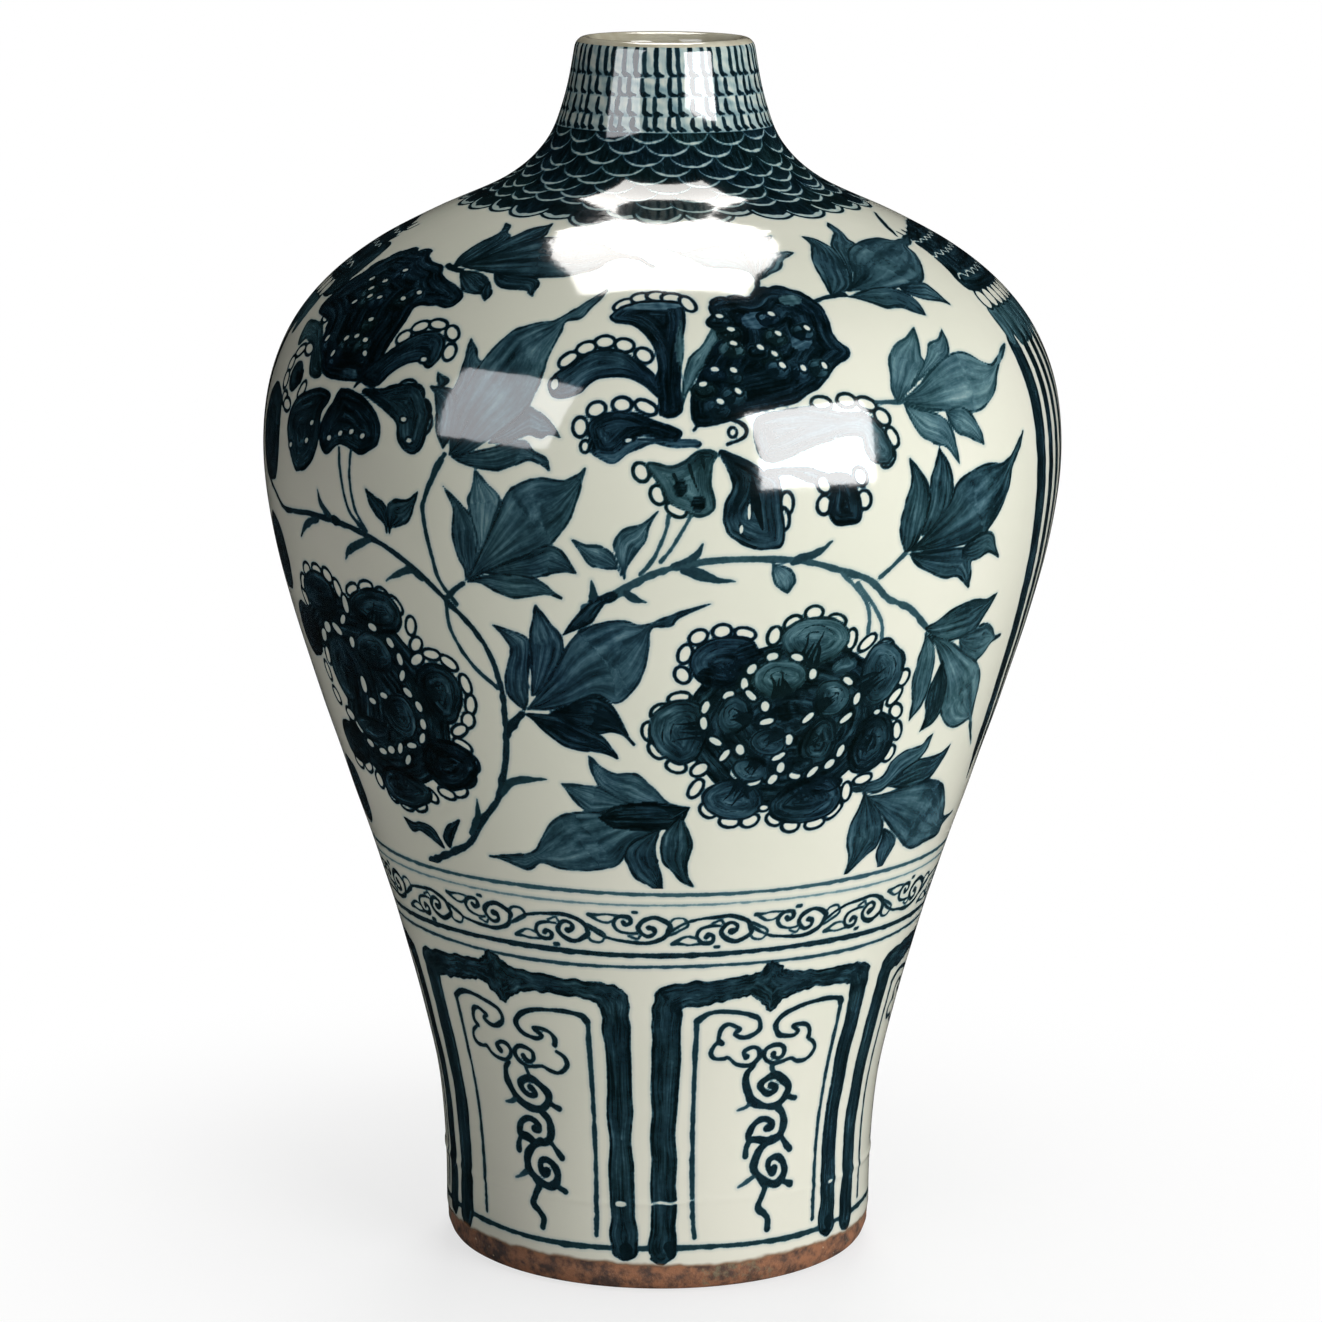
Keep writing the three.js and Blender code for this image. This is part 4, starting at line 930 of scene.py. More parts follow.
# brush lines inside it: points as above, widths in mm, strength
CLOUD = (
    (((-17.5, 100.5), (-14.9, 103.3), (-11.2, 103.7), (-7, 102.4), (-3.8, 100.6), (-2.7, 98.1), (-3, 95.3),
      (-4.9, 93.3), (-6.7, 93.1), (-8.3, 94.2), (-8.6, 95.3), (-7.5, 96.4), (-8.3, 97.4), (-10.1, 98.7),
      (-11.7, 97.4), (-12.3, 94.9), (-12.2, 92.8), (-11.4, 91.4)),
     (2.4, 1.7, 1.5, 1.7, 1.9, 1.6, 1.4, 1.5, 1.7, 1.4, 2.0), 0.68),
    (((-12.2, 92), (-13.5, 90.3), (-13.9, 87.8), (-12.8, 85.6), (-10.7, 85.3), (-9.6, 85.6), (-8, 83.1), (-6, 82.1),
      (-3.8, 82.1), (-2.3, 83.9), (-1.7, 86), (-2.5, 88.1), (-4.1, 88.9), (-5.7, 87.8), (-5.7, 86.4), (-5.1, 85.3)),
     (1.3, 1.6, 1.5, 1.3, 1.6, 1.8, 1.6, 1.5, 2.4), 0.68),
    (((19.3, 100.6), (18.2, 102.4), (15.6, 103.3), (11.9, 103.5), (8.2, 103), (5.1, 101.7), (2.5, 99.6), (1.2, 96.7),
      (1.7, 94.2), (3, 92.4), (5.1, 91.5), (6.9, 91.5), (7.7, 92.8), (6.7, 94.2), (5.9, 95.3), (7.7, 95.6),
      (9.8, 94.6), (11.1, 92.4), (10.9, 89.9)),
     (2.8, 1.9, 1.5, 1.7, 2.2, 2.0, 1.6, 1.5, 1.7, 1.4, 1.6, 2.0), 0.72),
    (((11.1, 88.9), (13, 87.1), (13.6, 84.6), (12.7, 82.1), (10.9, 80.6), (8.8, 81), (6.9, 82.4), (4.6, 81.7),
      (2.5, 81.4), (0.4, 82.8), (-0.7, 85.3), (-0.2, 87.4), (1.2, 88.7), (3, 88.5), (4.6, 87.1), (4.6, 84.6),
      (3.5, 83.3), (2.2, 83.9), (1.8, 85.1)), (1.4, 1.7, 1.5, 1.3, 1.6, 1.8, 1.6, 1.4, 2.2), 0.7),
)
PENDANT = (
    (((-3, 81.4), (-4.4, 78.9), (-4.6, 75.3), (-3.8, 71.7), (-2.3, 68.1), (0.4, 65.6), (3.5, 64.7), (5.9, 66),
      (7.4, 68.9), (7.4, 71.7), (5.6, 74.6), (3, 76.7), (0.6, 75.6), (-0.4, 73.5), (0.4, 71), (2.2, 69.7),
      (3.6, 70.6), (3.5, 72.1), (2.5, 73)), (1.8, 2.7, 2.9, 2.7, 3.0, 2.8, 2.4, 2.2, 2.6), 0.7),
    (((1.9, 81.4), (2.2, 79.4), (2.7, 77.4)), (1.4, 1.8), 0.6),
    (((-2.3, 67.4), (-4, 65.8), (-6.2, 64.9)), (2.0, 1.6, 0.8), 0.5),
    (((7.7, 68.1), (9, 67), (10.1, 66.4)), (1.8, 1.8, 2.4), 0.7),
    (((4.6, 64.6), (6.7, 61.7), (7.4, 57.4), (6.4, 53.1), (3, 51.7), (0.4, 52.8), (-2.3, 53.9), (-2, 57.4),
      (-0.2, 59.9), (1.9, 60.3), (3.8, 58.5), (3.8, 56.7), (2.5, 56.7)),
     (2.4, 2.8, 2.9, 3.0, 2.6, 2.4, 2.4, 2.0, 2.8), 0.7),
    (((-2.3, 52.8), (-2.9, 50), (-3, 47.4)), (2.0, 1.8, 2.4), 0.66),
    (((6.7, 53.1), (8.6, 50), (10.1, 47.4)), (2.0, 1.8, 2.6), 0.68),
    (((4, 52.4), (1.4, 49.6), (-0.2, 46), (-0.4, 42.4), (0.6, 39.6), (3, 37.1), (6.1, 35.6), (8.2, 37.4),
      (8.8, 40.3), (7.7, 43.9), (5.6, 45.6), (3.8, 44.6), (3.8, 41.7), (4.8, 39.9), (5.6, 41.4)),
     (2.6, 2.9, 2.8, 3.0, 2.8, 2.6, 2.4, 2.2, 2.8), 0.7),
    (((-0.7, 39.6), (-2.8, 37.6), (-4.6, 36.4)), (2.0, 1.5, 0.9), 0.5),
    (((8.2, 36.4), (9.6, 35.4), (10.9, 34.6)), (1.8, 1.8, 2.3), 0.68),
    (((1.4, 38.1), (3, 35.3), (1.9, 31.7), (1.1, 28.1), (3, 25.3), (4.3, 23.1), (3.9, 19.9)),
     (2.2, 2.4, 2.2, 2.6, 2.4, 2.0, 2.6), 0.68),
    (((-17.5, 100), (-17.3, 60), (-16.8, 30), (-16.4, 19.5)), (1.8, 1.4, 1.7, 1.4, 1.5), 0.6),
    (((19.5, 100), (19.4, 60), (19.5, 30), (19.4, 19.5)), (1.9, 1.5, 1.4, 1.7, 1.5), 0.6),
)
level_line(15.5, 1.9, 0.6, skirt, 0.5, 0.1)
for number, (middle, half, drop) in enumerate(LAPPETS):
    stretch = half / 24.7
    sway = math.sin(number * 2.2)
    body([(middle + a * stretch, w) for a, w in FRAME], (), 0.66, 0.42, 400 + number, skirt + band, folds=0.1, edge=0.9,
         rough=0.3)
    for points, widths, strength in CLOUD + PENDANT:
        shift = 0.5 if middle == -36 else 0
        drift = drop if points[0][1] < 99 or abs(points[0][0]) < 15 else drop * 0.4
        stroke([(middle + shift + a + 0.2 * sway * math.sin(w), w + drift * min(1, (w - 15) / 60)) for a, w in points],
               widths, strength, skirt, 0.42)
# the loaded brush's drops at the feet of the frames, and pale bare spots left in the ink along the ridge
for angle, low in ((-8.2, 11.2), (3.2, 12.2), (52, 12.6), (-62, 12.8)):
    stroke(((angle, low + 4), (angle + 0.3, low + 1)), (4.5, 2.4), 0.8, skirt, 0.3)
for angle, way, size in ((-36, 31, (1.6, 0.8)), (-26, 31, (1.2, 0.7)), (-9.5, 31.5, (2, 1.1)), (52, 31, (1.4, 0.7))):
    for panel, window, depth, _, _ in oval((angle, way), size, 0, skirt):
        leave_bare(panel, window, depth)
bare_line(((-2.6, 31.6), (0.5, 32.4), (3.4, 32), (6, 32.8), (9, 33)), (0.5, 1.2, 1.0, 1.2, 0.5), skirt)


# The painted wall
# Every panel is a fine sheet of points that carries the painting's distances; the glaze's shader draws with them.
RIDGE, RIDGE_LEVEL = 0.42, 30.5


def relief(angle, way):
    """How far the surface stands out or sinks, in mm: the luting ridge and the slow marks of turning."""
    wander = RIDGE_LEVEL + 1.1 + 0.5 * np.sin(np.radians(angle) * 3 + 1) + 0.3 * np.sin(np.radians(angle) * 7)
    swell = 0.75 + 0.25 * np.sin(np.radians(angle) * 5 + 2)
    bump = RIDGE * swell * np.exp(-(((way - wander) / 1.3) ** 2))
    return bump + 0.05 * np.sin(way * 0.21 + 1) * np.sin(np.radians(angle) * 2 + way * 0.01)


def skin_at(angle, way, lift=0.0):
    """Points and outward normals of the glazed surface, in metres."""
    turn = np.radians(angle)
    out = relief(angle, way)
    rise_way = (relief(angle, way + 0.2) - relief(angle, way - 0.2)) / 0.4
    rise_angle = (relief(angle + 0.1, way) - relief(angle - 0.1, way)) / 0.2 * 180 / np.pi / radius_at(way)
    dr = (radius_at(way + 0.6) - radius_at(way - 0.6)) / 1.2
    dz = (height_at(way + 0.6) - height_at(way - 0.6)) / 1.2
    length = np.hypot(dr, dz)
    dr, dz = dr / length, dz / length
    around = np.stack([np.cos(turn), np.sin(turn), 0 * turn], -1)
    up = np.stack([dr * np.sin(turn), -dr * np.cos(turn), dz], -1)
    normal = np.stack([dz * np.sin(turn), -dz * np.cos(turn), -dr], -1)
    radius, height = radius_at(way), height_at(way)
    point = np.stack([radius * np.sin(turn), -radius * np.cos(turn), height], -1)
    point = point + normal * (out + lift)[..., None]
    normal = normal - around * rise_angle[..., None] - up * rise_way[..., None]
    normal = normal / np.linalg.norm(normal, axis=-1, keepdims=True)
    return point * MM, normal


def sheet(name, point, normal, uv, fields=(), inward=False):
    """A mesh from a grid of points, with its normals, a map of its own and a value per point for each field."""
    rows, columns = point.shape[:2]
    i, j = np.meshgrid(np.arange(rows - 1), np.arange(columns - 1), indexing="ij")
    a = (i * columns + j).ravel()
    quads = np.stack([a, a + 1, a + columns + 1, a + columns], -1)
    if inward:
        quads = quads[:, ::-1]
    mesh = bpy.data.meshes.new(name)
    mesh.vertices.add(rows * columns)
    mesh.vertices.foreach_set("co", point.reshape(-1).astype(np.float32))
    mesh.loops.add(quads.size)
    mesh.loops.foreach_set("vertex_index", quads.reshape(-1).astype(np.int32))
    mesh.polygons.add(len(quads))
    mesh.polygons.foreach_set("loop_start", (np.arange(len(quads)) * 4).astype(np.int32))
    mesh.update(calc_edges=True)
    mesh.polygons.foreach_set("use_smooth", np.ones(len(quads), bool))
    layer = mesh.uv_layers.new(name="OFBake")
    layer.data.foreach_set("uv", uv.reshape(-1, 2)[quads.reshape(-1)].reshape(-1).astype(np.float32))
    for field_name, values in fields:
        attribute = mesh.attributes.new(field_name, "FLOAT", "POINT")
        attribute.data.foreach_set("value", values.reshape(-1).astype(np.float32))
    mesh.normals_split_custom_set_from_vertices(normal.reshape(-1, 3).tolist())
    obj = bpy.data.objects.new(name, mesh)
    bpy.context.scene.collection.objects.link(obj)
    return obj


class Value:
    """A number in a material's node tree, which arithmetic turns into the nodes that work it out."""

    def __init__(self, tree, socket):
        self.tree, self.socket = tree, socket

    def node(self, kind, output=0, sets=(), **links):
        """Adds any other kind of node; its inputs are named with _ for a space."""
        made = self.tree.nodes.new(kind)
        for name, setting in sets:
            setattr(made, name, setting)
        for name, given in links.items():
            socket = made.inputs[int(name[1:]) if name[1:].isdigit() else name.replace("_", " ")]
            if isinstance(given, Value):
                self.tree.links.new(given.socket, socket)
            else:
                socket.default_value = given
        return Value(self.tree, made.outputs[output])

    def math(self, operation, *others):
        return self.node("ShaderNodeMath", 0, (("operation", operation),),
                         **{f"i{k}": v for k, v in enumerate((self,) + others)})

    def __add__(self, other):
        return self.math("ADD", other)

    def __sub__(self, other):
        return self.math("SUBTRACT", other)

    def __mul__(self, other):
        return self.math("MULTIPLY", other)

    def __truediv__(self, other):
        return self.math("DIVIDE", other)

    def __rsub__(self, other):
        return self.math("MULTIPLY", -1) + other

    __radd__, __rmul__ = __add__, __mul__

    def least(self, other):
        return self.math("MINIMUM", other)

    def most(self, other):
        return self.math("MAXIMUM", other)

    def step(self, low, high):
        """Rises smoothly from 0 to 1 between two values."""
        return self.node("ShaderNodeMapRange", 0, (("interpolation_type", "SMOOTHSTEP"),),
                         Value=self, From_Min=low, From_Max=high)

    def noise(self, scale, detail=2.0, rough=0.5, stretch=1.0):
        """Noise centred on 0, read from where the point lies; scale in bumps per metre."""
        place = self.node("ShaderNodeTexCoord", "Object")
        if stretch != 1.0:
            place = self.node("ShaderNodeMapping", 0, i0=place, Scale=(1, 1, stretch))
        return self.node("ShaderNodeTexNoise", 0, Vector=place, Scale=scale, Detail=detail, Roughness=rough) - 0.5

    def ramp(self, stops):
        made = self.tree.nodes.new("ShaderNodeValToRGB")
        self.tree.links.new(self.socket, made.inputs[0])
        row = made.color_ramp.elements
        while len(row) < len(stops):
            row.new(1.0)
        for element, (position, color) in zip(row, stops):
            element.position, element.color = position, (*color, 1)
        return Value(self.tree, made.outputs[0])

    def mix(self, first, second):
        """Between two colours, by this value."""
        made = self.tree.nodes.new("ShaderNodeMix")
        made.data_type = "RGBA"
        self.tree.links.new(self.socket, made.inputs[0])
        for socket, given in ((made.inputs[6], first), (made.inputs[7], second)):
            if isinstance(given, Value):
                self.tree.links.new(given.socket, socket)
            else:
                socket.default_value = (*given, 1)
        return Value(self.tree, made.outputs[2])


def material(name):
    made = bpy.data.materials.new(name)
    made.use_nodes = True
    return made, made.node_tree.nodes["Principled BSDF"], Value(made.node_tree, None)


def plug(tree, value, socket):
    if isinstance(value, Value):
        tree.links.new(value.socket, socket)
    elif isinstance(value, tuple):
        socket.default_value = (*value, 1)
    else:
        socket.default_value = value


def field_value(base, name):
    return base.node("ShaderNodeAttribute", "Fac", (("attribute_name", name),))



GLAZE_COLOR = (0.70, 0.69, 0.595)
# how much light comes back through more and more ink: one cobalt is greyer and greener, the other bluer
GREEN_INK = (
    (0, (1, 1, 1)), (0.1, (0.535, 0.665, 0.722)), (0.2, (0.215, 0.385, 0.485)), (0.3, (0.107, 0.225, 0.30)),
    (0.4, (0.053, 0.132, 0.182)), (0.5, (0.0275, 0.0765, 0.107)), (0.6, (0.0145, 0.0455, 0.0625)),
    (0.75, (0.0062, 0.0208, 0.0270)), (1, (0.0018, 0.006, 0.0068)),
)
BLUE_INK = (
    (0, (1, 1, 1)), (0.1, (0.485, 0.63, 0.748)), (0.2, (0.235, 0.365, 0.475)), (0.3, (0.10, 0.205, 0.312)),
    (0.4, (0.047, 0.114, 0.193)), (0.5, (0.0225, 0.0645, 0.118)), (0.6, (0.0118, 0.0365, 0.0715)),
    (0.75, (0.0046, 0.0162, 0.0325)), (1, (0.001, 0.005, 0.0072)),
)
CLAY_DARK, CLAY_LIGHT, CLAY_OLIVE = (0.05, 0.020, 0.009), (0.27, 0.105, 0.040), (0.15, 0.125, 0.065)


def burnt_clay(base):
    """Bare clay burnt orange brown in the kiln, with dark patches and a little olive ash."""
    patch = (base.noise(60, 4, 0.65) + base.noise(260, 3, 0.65) * 0.9).step(-0.2, 0.17)
    ash = (base.noise(34, 3, 0.6) + base.noise(400, 2, 0.6) * 0.5).step(0.08, 0.2) * 0.75
    return ash.mix(patch.mix(CLAY_DARK, CLAY_LIGHT), CLAY_OLIVE)


def through_glaze(stops):
    return [(amount, tuple(c * g for c, g in zip(color, GLAZE_COLOR))) for amount, color in stops]


def painted_glaze(name, pale_rims):
    """Clear glaze over brushed cobalt; pale_rims is how much of the ground shows in a bare spot."""
    made, surface, base = material(name)
    wobble = base.noise(320, 2) * 0.6 + base.noise(900, 1) * 0.4
    wash_depth, line_depth = field_value(base, "wash") + wobble, field_value(base, "line") + wobble * 0.7
    bare = (field_value(base, "bare") + wobble * 0.6).step(-0.32, 0.32) * pale_rims
    brush = base.node("ShaderNodeCombineXYZ", 0, (), X=field_value(base, "across"), Y=field_value(base, "along") * 0.09)
    hairs = base.node("ShaderNodeTexNoise", 0, (), Vector=brush, Scale=0.95, Detail=3.0, Roughness=0.62) - 0.5
    pooled = base.noise(150, 3, 0.6) * 0.5 + base.noise(650, 2, 0.6) * 0.35
    fill = wash_depth.step(-0.34, 0.34) * field_value(base, "tone") * (hairs * 1.5 + pooled + 1.0) * (1 - bare)
    brushed = line_depth.step(-0.34, 0.30) * field_value(base, "strength") * (pooled * 0.8 + 1.0)
    bled = (wash_depth.most(line_depth)).step(-1.7, 0.3) * 0.05 * (1 - bare * 0.6)
    ink = fill.most(brushed).most(bled).most(0.0).least(1.0)
    hue = (field_value(base, "hue") + base.noise(60, 2) * 0.9).most(0.0).least(1.0)
    color = hue.mix(ink.ramp(through_glaze(GREEN_INK)), ink.ramp(through_glaze(BLUE_INK)))
    tint = (base.noise(14, 3, 0.6) + base.noise(4, 1)).step(-0.35, 0.35)
    glass = tint.mix((0.93, 0.955, 0.93), (1.0, 1.0, 1.0))
    shaded = base.node("ShaderNodeMix", 2, (("data_type", "RGBA"), ("blend_type", "MULTIPLY")),
                       i0=1.0, i6=color, i7=glass)
    ragged = field_value(base, "way") + base.noise(38, 3, 0.6) * 4.5 + base.noise(160, 2) * 2.0
    glazed = (ragged - 9.7).step(-0.25, 0.25)
    thin_edge = (ragged - 10.4).step(-0.8, 0.9)
    rust = thin_edge.mix((0.20, 0.105, 0.05), shaded)
    plug(made.node_tree, glazed.mix(burnt_clay(base), rust), surface.inputs["Base Color"])
    plug(made.node_tree, 0.85 - glazed * 0.78, surface.inputs["Roughness"])
    surface.inputs["IOR"].default_value = 1.5
    swell = base.noise(45, 2) * 0.55 + base.noise(240, 2) * 0.10 + (1 - glazed) * base.noise(900, 3, 0.7) * 1.2
    bump = base.node("ShaderNodeBump", 0, (), Height=swell, Distance=0.00022, Strength=1.0)
    plug(made.node_tree, bump, surface.inputs["Normal"])
    return made


glaze = painted_glaze("painted_glaze", 0.95)
glaze_collar = painted_glaze("painted_glaze_collar", 0.88)

for panel in skirt + band + field + collar + neck:
    for half in range(2 if panel.turns[1] == -180 else 1):
        angle, way = np.meshgrid(panel.angle + 180 * half, panel.way)
        point, normal = skin_at(angle, way)
        u = (angle - angle[0, 0]) / (angle[0, -1] - angle[0, 0]) * 0.98 + 0.01
        v = (way - way[0, 0]) / (way[-1, 0] - way[0, 0]) * 0.98 + 0.01
        fields = [(name, getattr(panel, name)) for name in Panel.LAYERS]
        name = f"{panel.name}_{panel.number + half * panel.parts}"
        piece = sheet(name, point, normal, np.stack([u, v], -1), fields + [("way", way)])
        piece.data.materials.append(glaze_collar if panel in collar + neck else glaze)
        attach(piece, "root")
        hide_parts("glaze_coat")


# The clay body
# The foot, three thrown sections, the neck and the base plate are turned rings of biscuit, luted with slip.
WALL = 7.0
inner_r, inner_z = offset_line(clay_radius(fine), fine, -WALL)


def inner_radius(z):
    return np.interp(z, inner_z, inner_r)


def turned_piece(name, outline, columns, slot, *nodes):
    """A solid ring or disc from its closed outline of (radius, height), with its corners kept sharp."""
    outline = np.asarray(outline, float)
    turn = np.linspace(0, 2 * np.pi, columns, endpoint=False)
    count = len(outline)
    point = np.stack([
        outline[:, None, 0] * np.sin(turn), -outline[:, None, 0] * np.cos(turn), outline[:, None, 1] + 0 * turn,
    ], -1) * MM
    i, j = np.meshgrid(np.arange(count), np.arange(columns), indexing="ij")
    a, b = i * columns + j, i * columns + (j + 1) % columns
    up = (i + 1) % count * columns
    quads = np.stack([a, b, up + (j + 1) % columns, up + j], -1).reshape(-1, 4)
    mesh = bpy.data.meshes.new(name)
    mesh.from_pydata(point.reshape(-1, 3).tolist(), [], quads.tolist())
    mesh.polygons.foreach_set("use_smooth", np.ones(len(quads), bool))
    mesh.set_sharp_from_angle(angle=math.radians(40))
    mesh.update()
    obj = bpy.data.objects.new(name, mesh)
    bpy.context.scene.collection.objects.link(obj)
    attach(obj, "root")
    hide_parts(*nodes)
    return obj


def outside(low, high, count):
    z = np.linspace(low, high, count)
    return np.stack([clay_radius(z), z], -1)


def inside(low, high, count):
    z = np.linspace(high, low, count)
    return np.stack([inner_radius(z), z], -1)


clay_made, clay_surface, clay_base = material("burnt_clay")
plug(clay_made.node_tree, burnt_clay(clay_base), clay_surface.inputs["Base Color"])
plug(clay_made.node_tree, 0.85 + clay_base.noise(300) * 0.2, clay_surface.inputs["Roughness"])
grit = clay_base.noise(700, 3, 0.7) + clay_base.noise(130, 2) * 0.8
plug(clay_made.node_tree, clay_base.node("ShaderNodeBump", 0, (), Height=grit, Distance=0.0005, Strength=1.0),
     clay_surface.inputs["Normal"])

inner_made, inner_surface, inner_base = material("inner_clay")
plug(inner_made.node_tree, (inner_base.noise(60, 3) + inner_base.noise(400, 2) * 0.4).step(-0.3, 0.3).mix(
    (0.42, 0.30, 0.19), (0.55, 0.42, 0.28)), inner_surface.inputs["Base Color"])
plug(inner_made.node_tree, 0.8 + inner_base.noise(200) * 0.2, inner_surface.inputs["Roughness"])

FOOT_JOINT, WAIST_JOINT, BELLY_JOINT, NECK_JOINT, SEAM = 30, 148, 262, 376, 0.4
foot = turned_piece(
    "foot_collar_clay",
    [(63, 0), (63.4, -0.0), (70.4, 0), (71.4, 0.25), (72.5, 0.9), (73.3, 2.0), (73.9, 3.5)]
    + [tuple(p) for p in outside(5, FOOT_JOINT - SEAM, 14)]
    + [tuple(p) for p in inside(25, FOOT_JOINT - SEAM, 4)]
    + [(61.3, 18), (61.3, 5)], 192, "biscuit", "foot_collar")
foot.data.materials.append(clay_made)
for name, low, high, node in (("lower_wall_clay", FOOT_JOINT, WAIST_JOINT, "lower_wall"),
                              ("belly_wall_clay", WAIST_JOINT, BELLY_JOINT, "belly_wall"),
                              ("shoulder_dome_clay", BELLY_JOINT, NECK_JOINT, "shoulder_dome")):
    ring_of_clay = turned_piece(
        name, np.vstack([outside(low + SEAM, high - SEAM, 40), inside(low + SEAM, high - SEAM, 40)]), 160,
        "biscuit", node)
    ring_of_clay.data.materials.append(inner_made)
plate = turned_piece(
    "base_plate_clay", [(0.01, 5.0), (58, 5.0), (60, 5.15), (60.5, 5.6), (60.5, 14), (0.01, 14)], 160,
    "biscuit", "base_plate")
plate.data.materials.append(clay_made)
neck_ring = turned_piece(
    "neck_clay",
    np.vstack([outside(NECK_JOINT + SEAM, LIP_LEVEL, 24),
               [(float(clay_radius(LIP_LEVEL)) - 3 + 3 * math.cos(b), LIP_LEVEL + 3.4 * math.sin(b))
                for b in np.linspace(0.3, math.pi - 0.3, 9)],
               inside(NECK_JOINT + SEAM, 398, 20)]), 160, "biscuit", "neck_and_mouth")
neck_ring.data.materials.append(inner_made)


# The lip
# The glaze runs over the rolled lip and down the throat in one darker olive: thin glaze over clay on the roll, painted
# shade in the throat.
sweep = np.linspace(PAINTED_LIP, 180, 22)
lip_r, lip_z = lip_line(sweep)
down_z = np.linspace(lip_z[-1], 399, 22)[1:]
down_r = np.minimum(inner_radius(down_z) - 0.55, lip_r[-1] + (lip_z[-1] - down_z) * 0.6)
line_r, line_z = np.concatenate([lip_r, down_r]), np.concatenate([lip_z, down_z])
turn = np.linspace(-180, 180, 241)
point = np.stack([
    line_r[:, None] * np.sin(np.radians(turn)), -line_r[:, None] * np.cos(np.radians(turn)),
    line_z[:, None] + 0 * turn,
], -1) * MM
flow_r, flow_z = np.gradient(line_r), np.gradient(line_z)
flow = np.hypot(flow_r, flow_z)
flow_r, flow_z = (flow_r / flow)[:, None], (flow_z / flow)[:, None]
normal = np.stack([flow_z * np.sin(np.radians(turn)), -flow_z * np.cos(np.radians(turn)), -flow_r + 0 * turn], -1)
uv = np.stack(np.meshgrid((turn + 180) / 360, np.linspace(0, 1, len(line_r))), -1)
lip = sheet("glazed_lip", point, normal, uv)
lip_made, lip_surface, lip_base = material("lip_glaze_and_painted_shade")
lip_tint = (lip_base.noise(40, 3) + lip_base.noise(200, 2) * 0.5).step(-0.35, 0.35)
# the darker olive is thin glaze over the clay on the roll, and painted shade down the throat inside the mouth
lip_olive_and_painted_shade = lip_tint.mix((0.40, 0.36, 0.25), (0.58, 0.56, 0.45))
plug(lip_made.node_tree, lip_olive_and_painted_shade, lip_surface.inputs["Base Color"])
lip_surface.inputs["Roughness"].default_value = 0.08
lip.data.materials.append(lip_made)
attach(lip, "root")
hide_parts("glaze_coat")


# The slip
# Wet clay slip lutes the sections together; inside, where no hand could wipe it, it stands in soft beads.
slip_made, slip_surface, slip_base = material("slip")
plug(slip_made.node_tree, slip_base.noise(150, 3).step(-0.3, 0.3).mix((0.40, 0.28, 0.17), (0.5, 0.38, 0.25)),
     slip_surface.inputs["Base Color"])
slip_surface.inputs["Roughness"].default_value = 0.9
for name, joint in (("foot", FOOT_JOINT), ("waist", WAIST_JOINT), ("belly", BELLY_JOINT), ("neck", NECK_JOINT)):
    low, high = joint - SEAM, joint + SEAM
    across = np.linspace(0, 1, 12)
    start, end = float(inner_radius(high + 2)) - 0.3, float(inner_radius(low - 2)) - 0.3
    soft = [(start + (end - start) * t - 1.9 * math.sin(math.pi * t), high + 2 - (high - low + 4) * t)
            for t in across]
    seam = turned_piece(
        f"slip_joint_{name}_bead",
        [(float(clay_radius(low)), low), (float(clay_radius(high)), high), (float(inner_radius(high)), high)]
        + soft + [(float(inner_radius(low)), low)], 160, "slip", f"slip_joint_{name}")
    seam.data.materials.append(slip_made)
fillet = turned_piece(
    "slip_round_base_fillet",
    [(60.5, 5), (61.3, 5), (61.3, 18), (60.2, 16.6), (58.8, 15.2), (57.3, 14), (60.5, 14)], 160, "slip",
    "slip_round_base")
fillet.data.materials.append(slip_made)

# The grit on the foot
# Sand from the kiln's floor stuck to the bare foot rim while it was hot.
GRAINS, GRAIN_SIZE = 220, 0.7
tree = bpy.data.node_groups.new("kiln_grit", "GeometryNodeTree")
tree.interface.new_socket("Rim", in_out="INPUT", socket_type="NodeSocketGeometry")
tree.interface.new_socket("Grains", in_out="INPUT", socket_type="NodeSocketInt").default_value = GRAINS
tree.interface.new_socket("Grain Size", in_out="INPUT", socket_type="NodeSocketFloat").default_value = GRAIN_SIZE * MM
tree.interface.new_socket("Material", in_out="INPUT", socket_type="NodeSocketMaterial")
tree.interface.new_socket("Grit", in_out="OUTPUT", socket_type="NodeSocketGeometry")


def add(kind, *links, **settings):
    """A node of the grit's tree, with settings on it and links of (its input, node, output)."""
    node = tree.nodes.new(kind)
    for name, setting in settings.items():
        setattr(node, name, setting)
    for target, source, output in links:
        tree.links.new(source.outputs[output], node.inputs[target])
    return node


given = tree.nodes.new("NodeGroupInput")
spread = add("GeometryNodeDistributePointsOnFaces", ("Mesh", given, "Rim"))
spread.inputs["Density"].default_value = 12000
spread.inputs["Seed"].default_value = 8
number = add("GeometryNodeInputIndex")
extra = add("FunctionNodeCompare", (2, number, 0), (3, given, "Grains"), data_type="INT",
            operation="GREATER_EQUAL")
kept = add("GeometryNodeDeleteGeometry", ("Geometry", spread, "Points"), ("Selection", extra, "Result"),
           domain="POINT")
ball = add("GeometryNodeMeshIcoSphere", ("Radius", given, "Grain Size"))
ball.inputs["Subdivisions"].default_value = 2
size = add("FunctionNodeRandomValue", data_type="FLOAT")
size.inputs[2].default_value, size.inputs[3].default_value, size.inputs["Seed"].default_value = 0.25, 0.8, 3
placed = add("GeometryNodeInstanceOnPoints", ("Points", kept, "Geometry"), ("Instance", ball, "Mesh"),
             ("Rotation", spread, "Rotation"), ("Scale", size, 1))
real = add("GeometryNodeRealizeInstances", ("Geometry", placed, "Instances"))
shown = add("GeometryNodeSetMaterial", ("Geometry", real, "Geometry"), ("Material", given, "Material"))
result = tree.nodes.new("NodeGroupOutput")
tree.links.new(shown.outputs["Geometry"], result.inputs["Grit"])

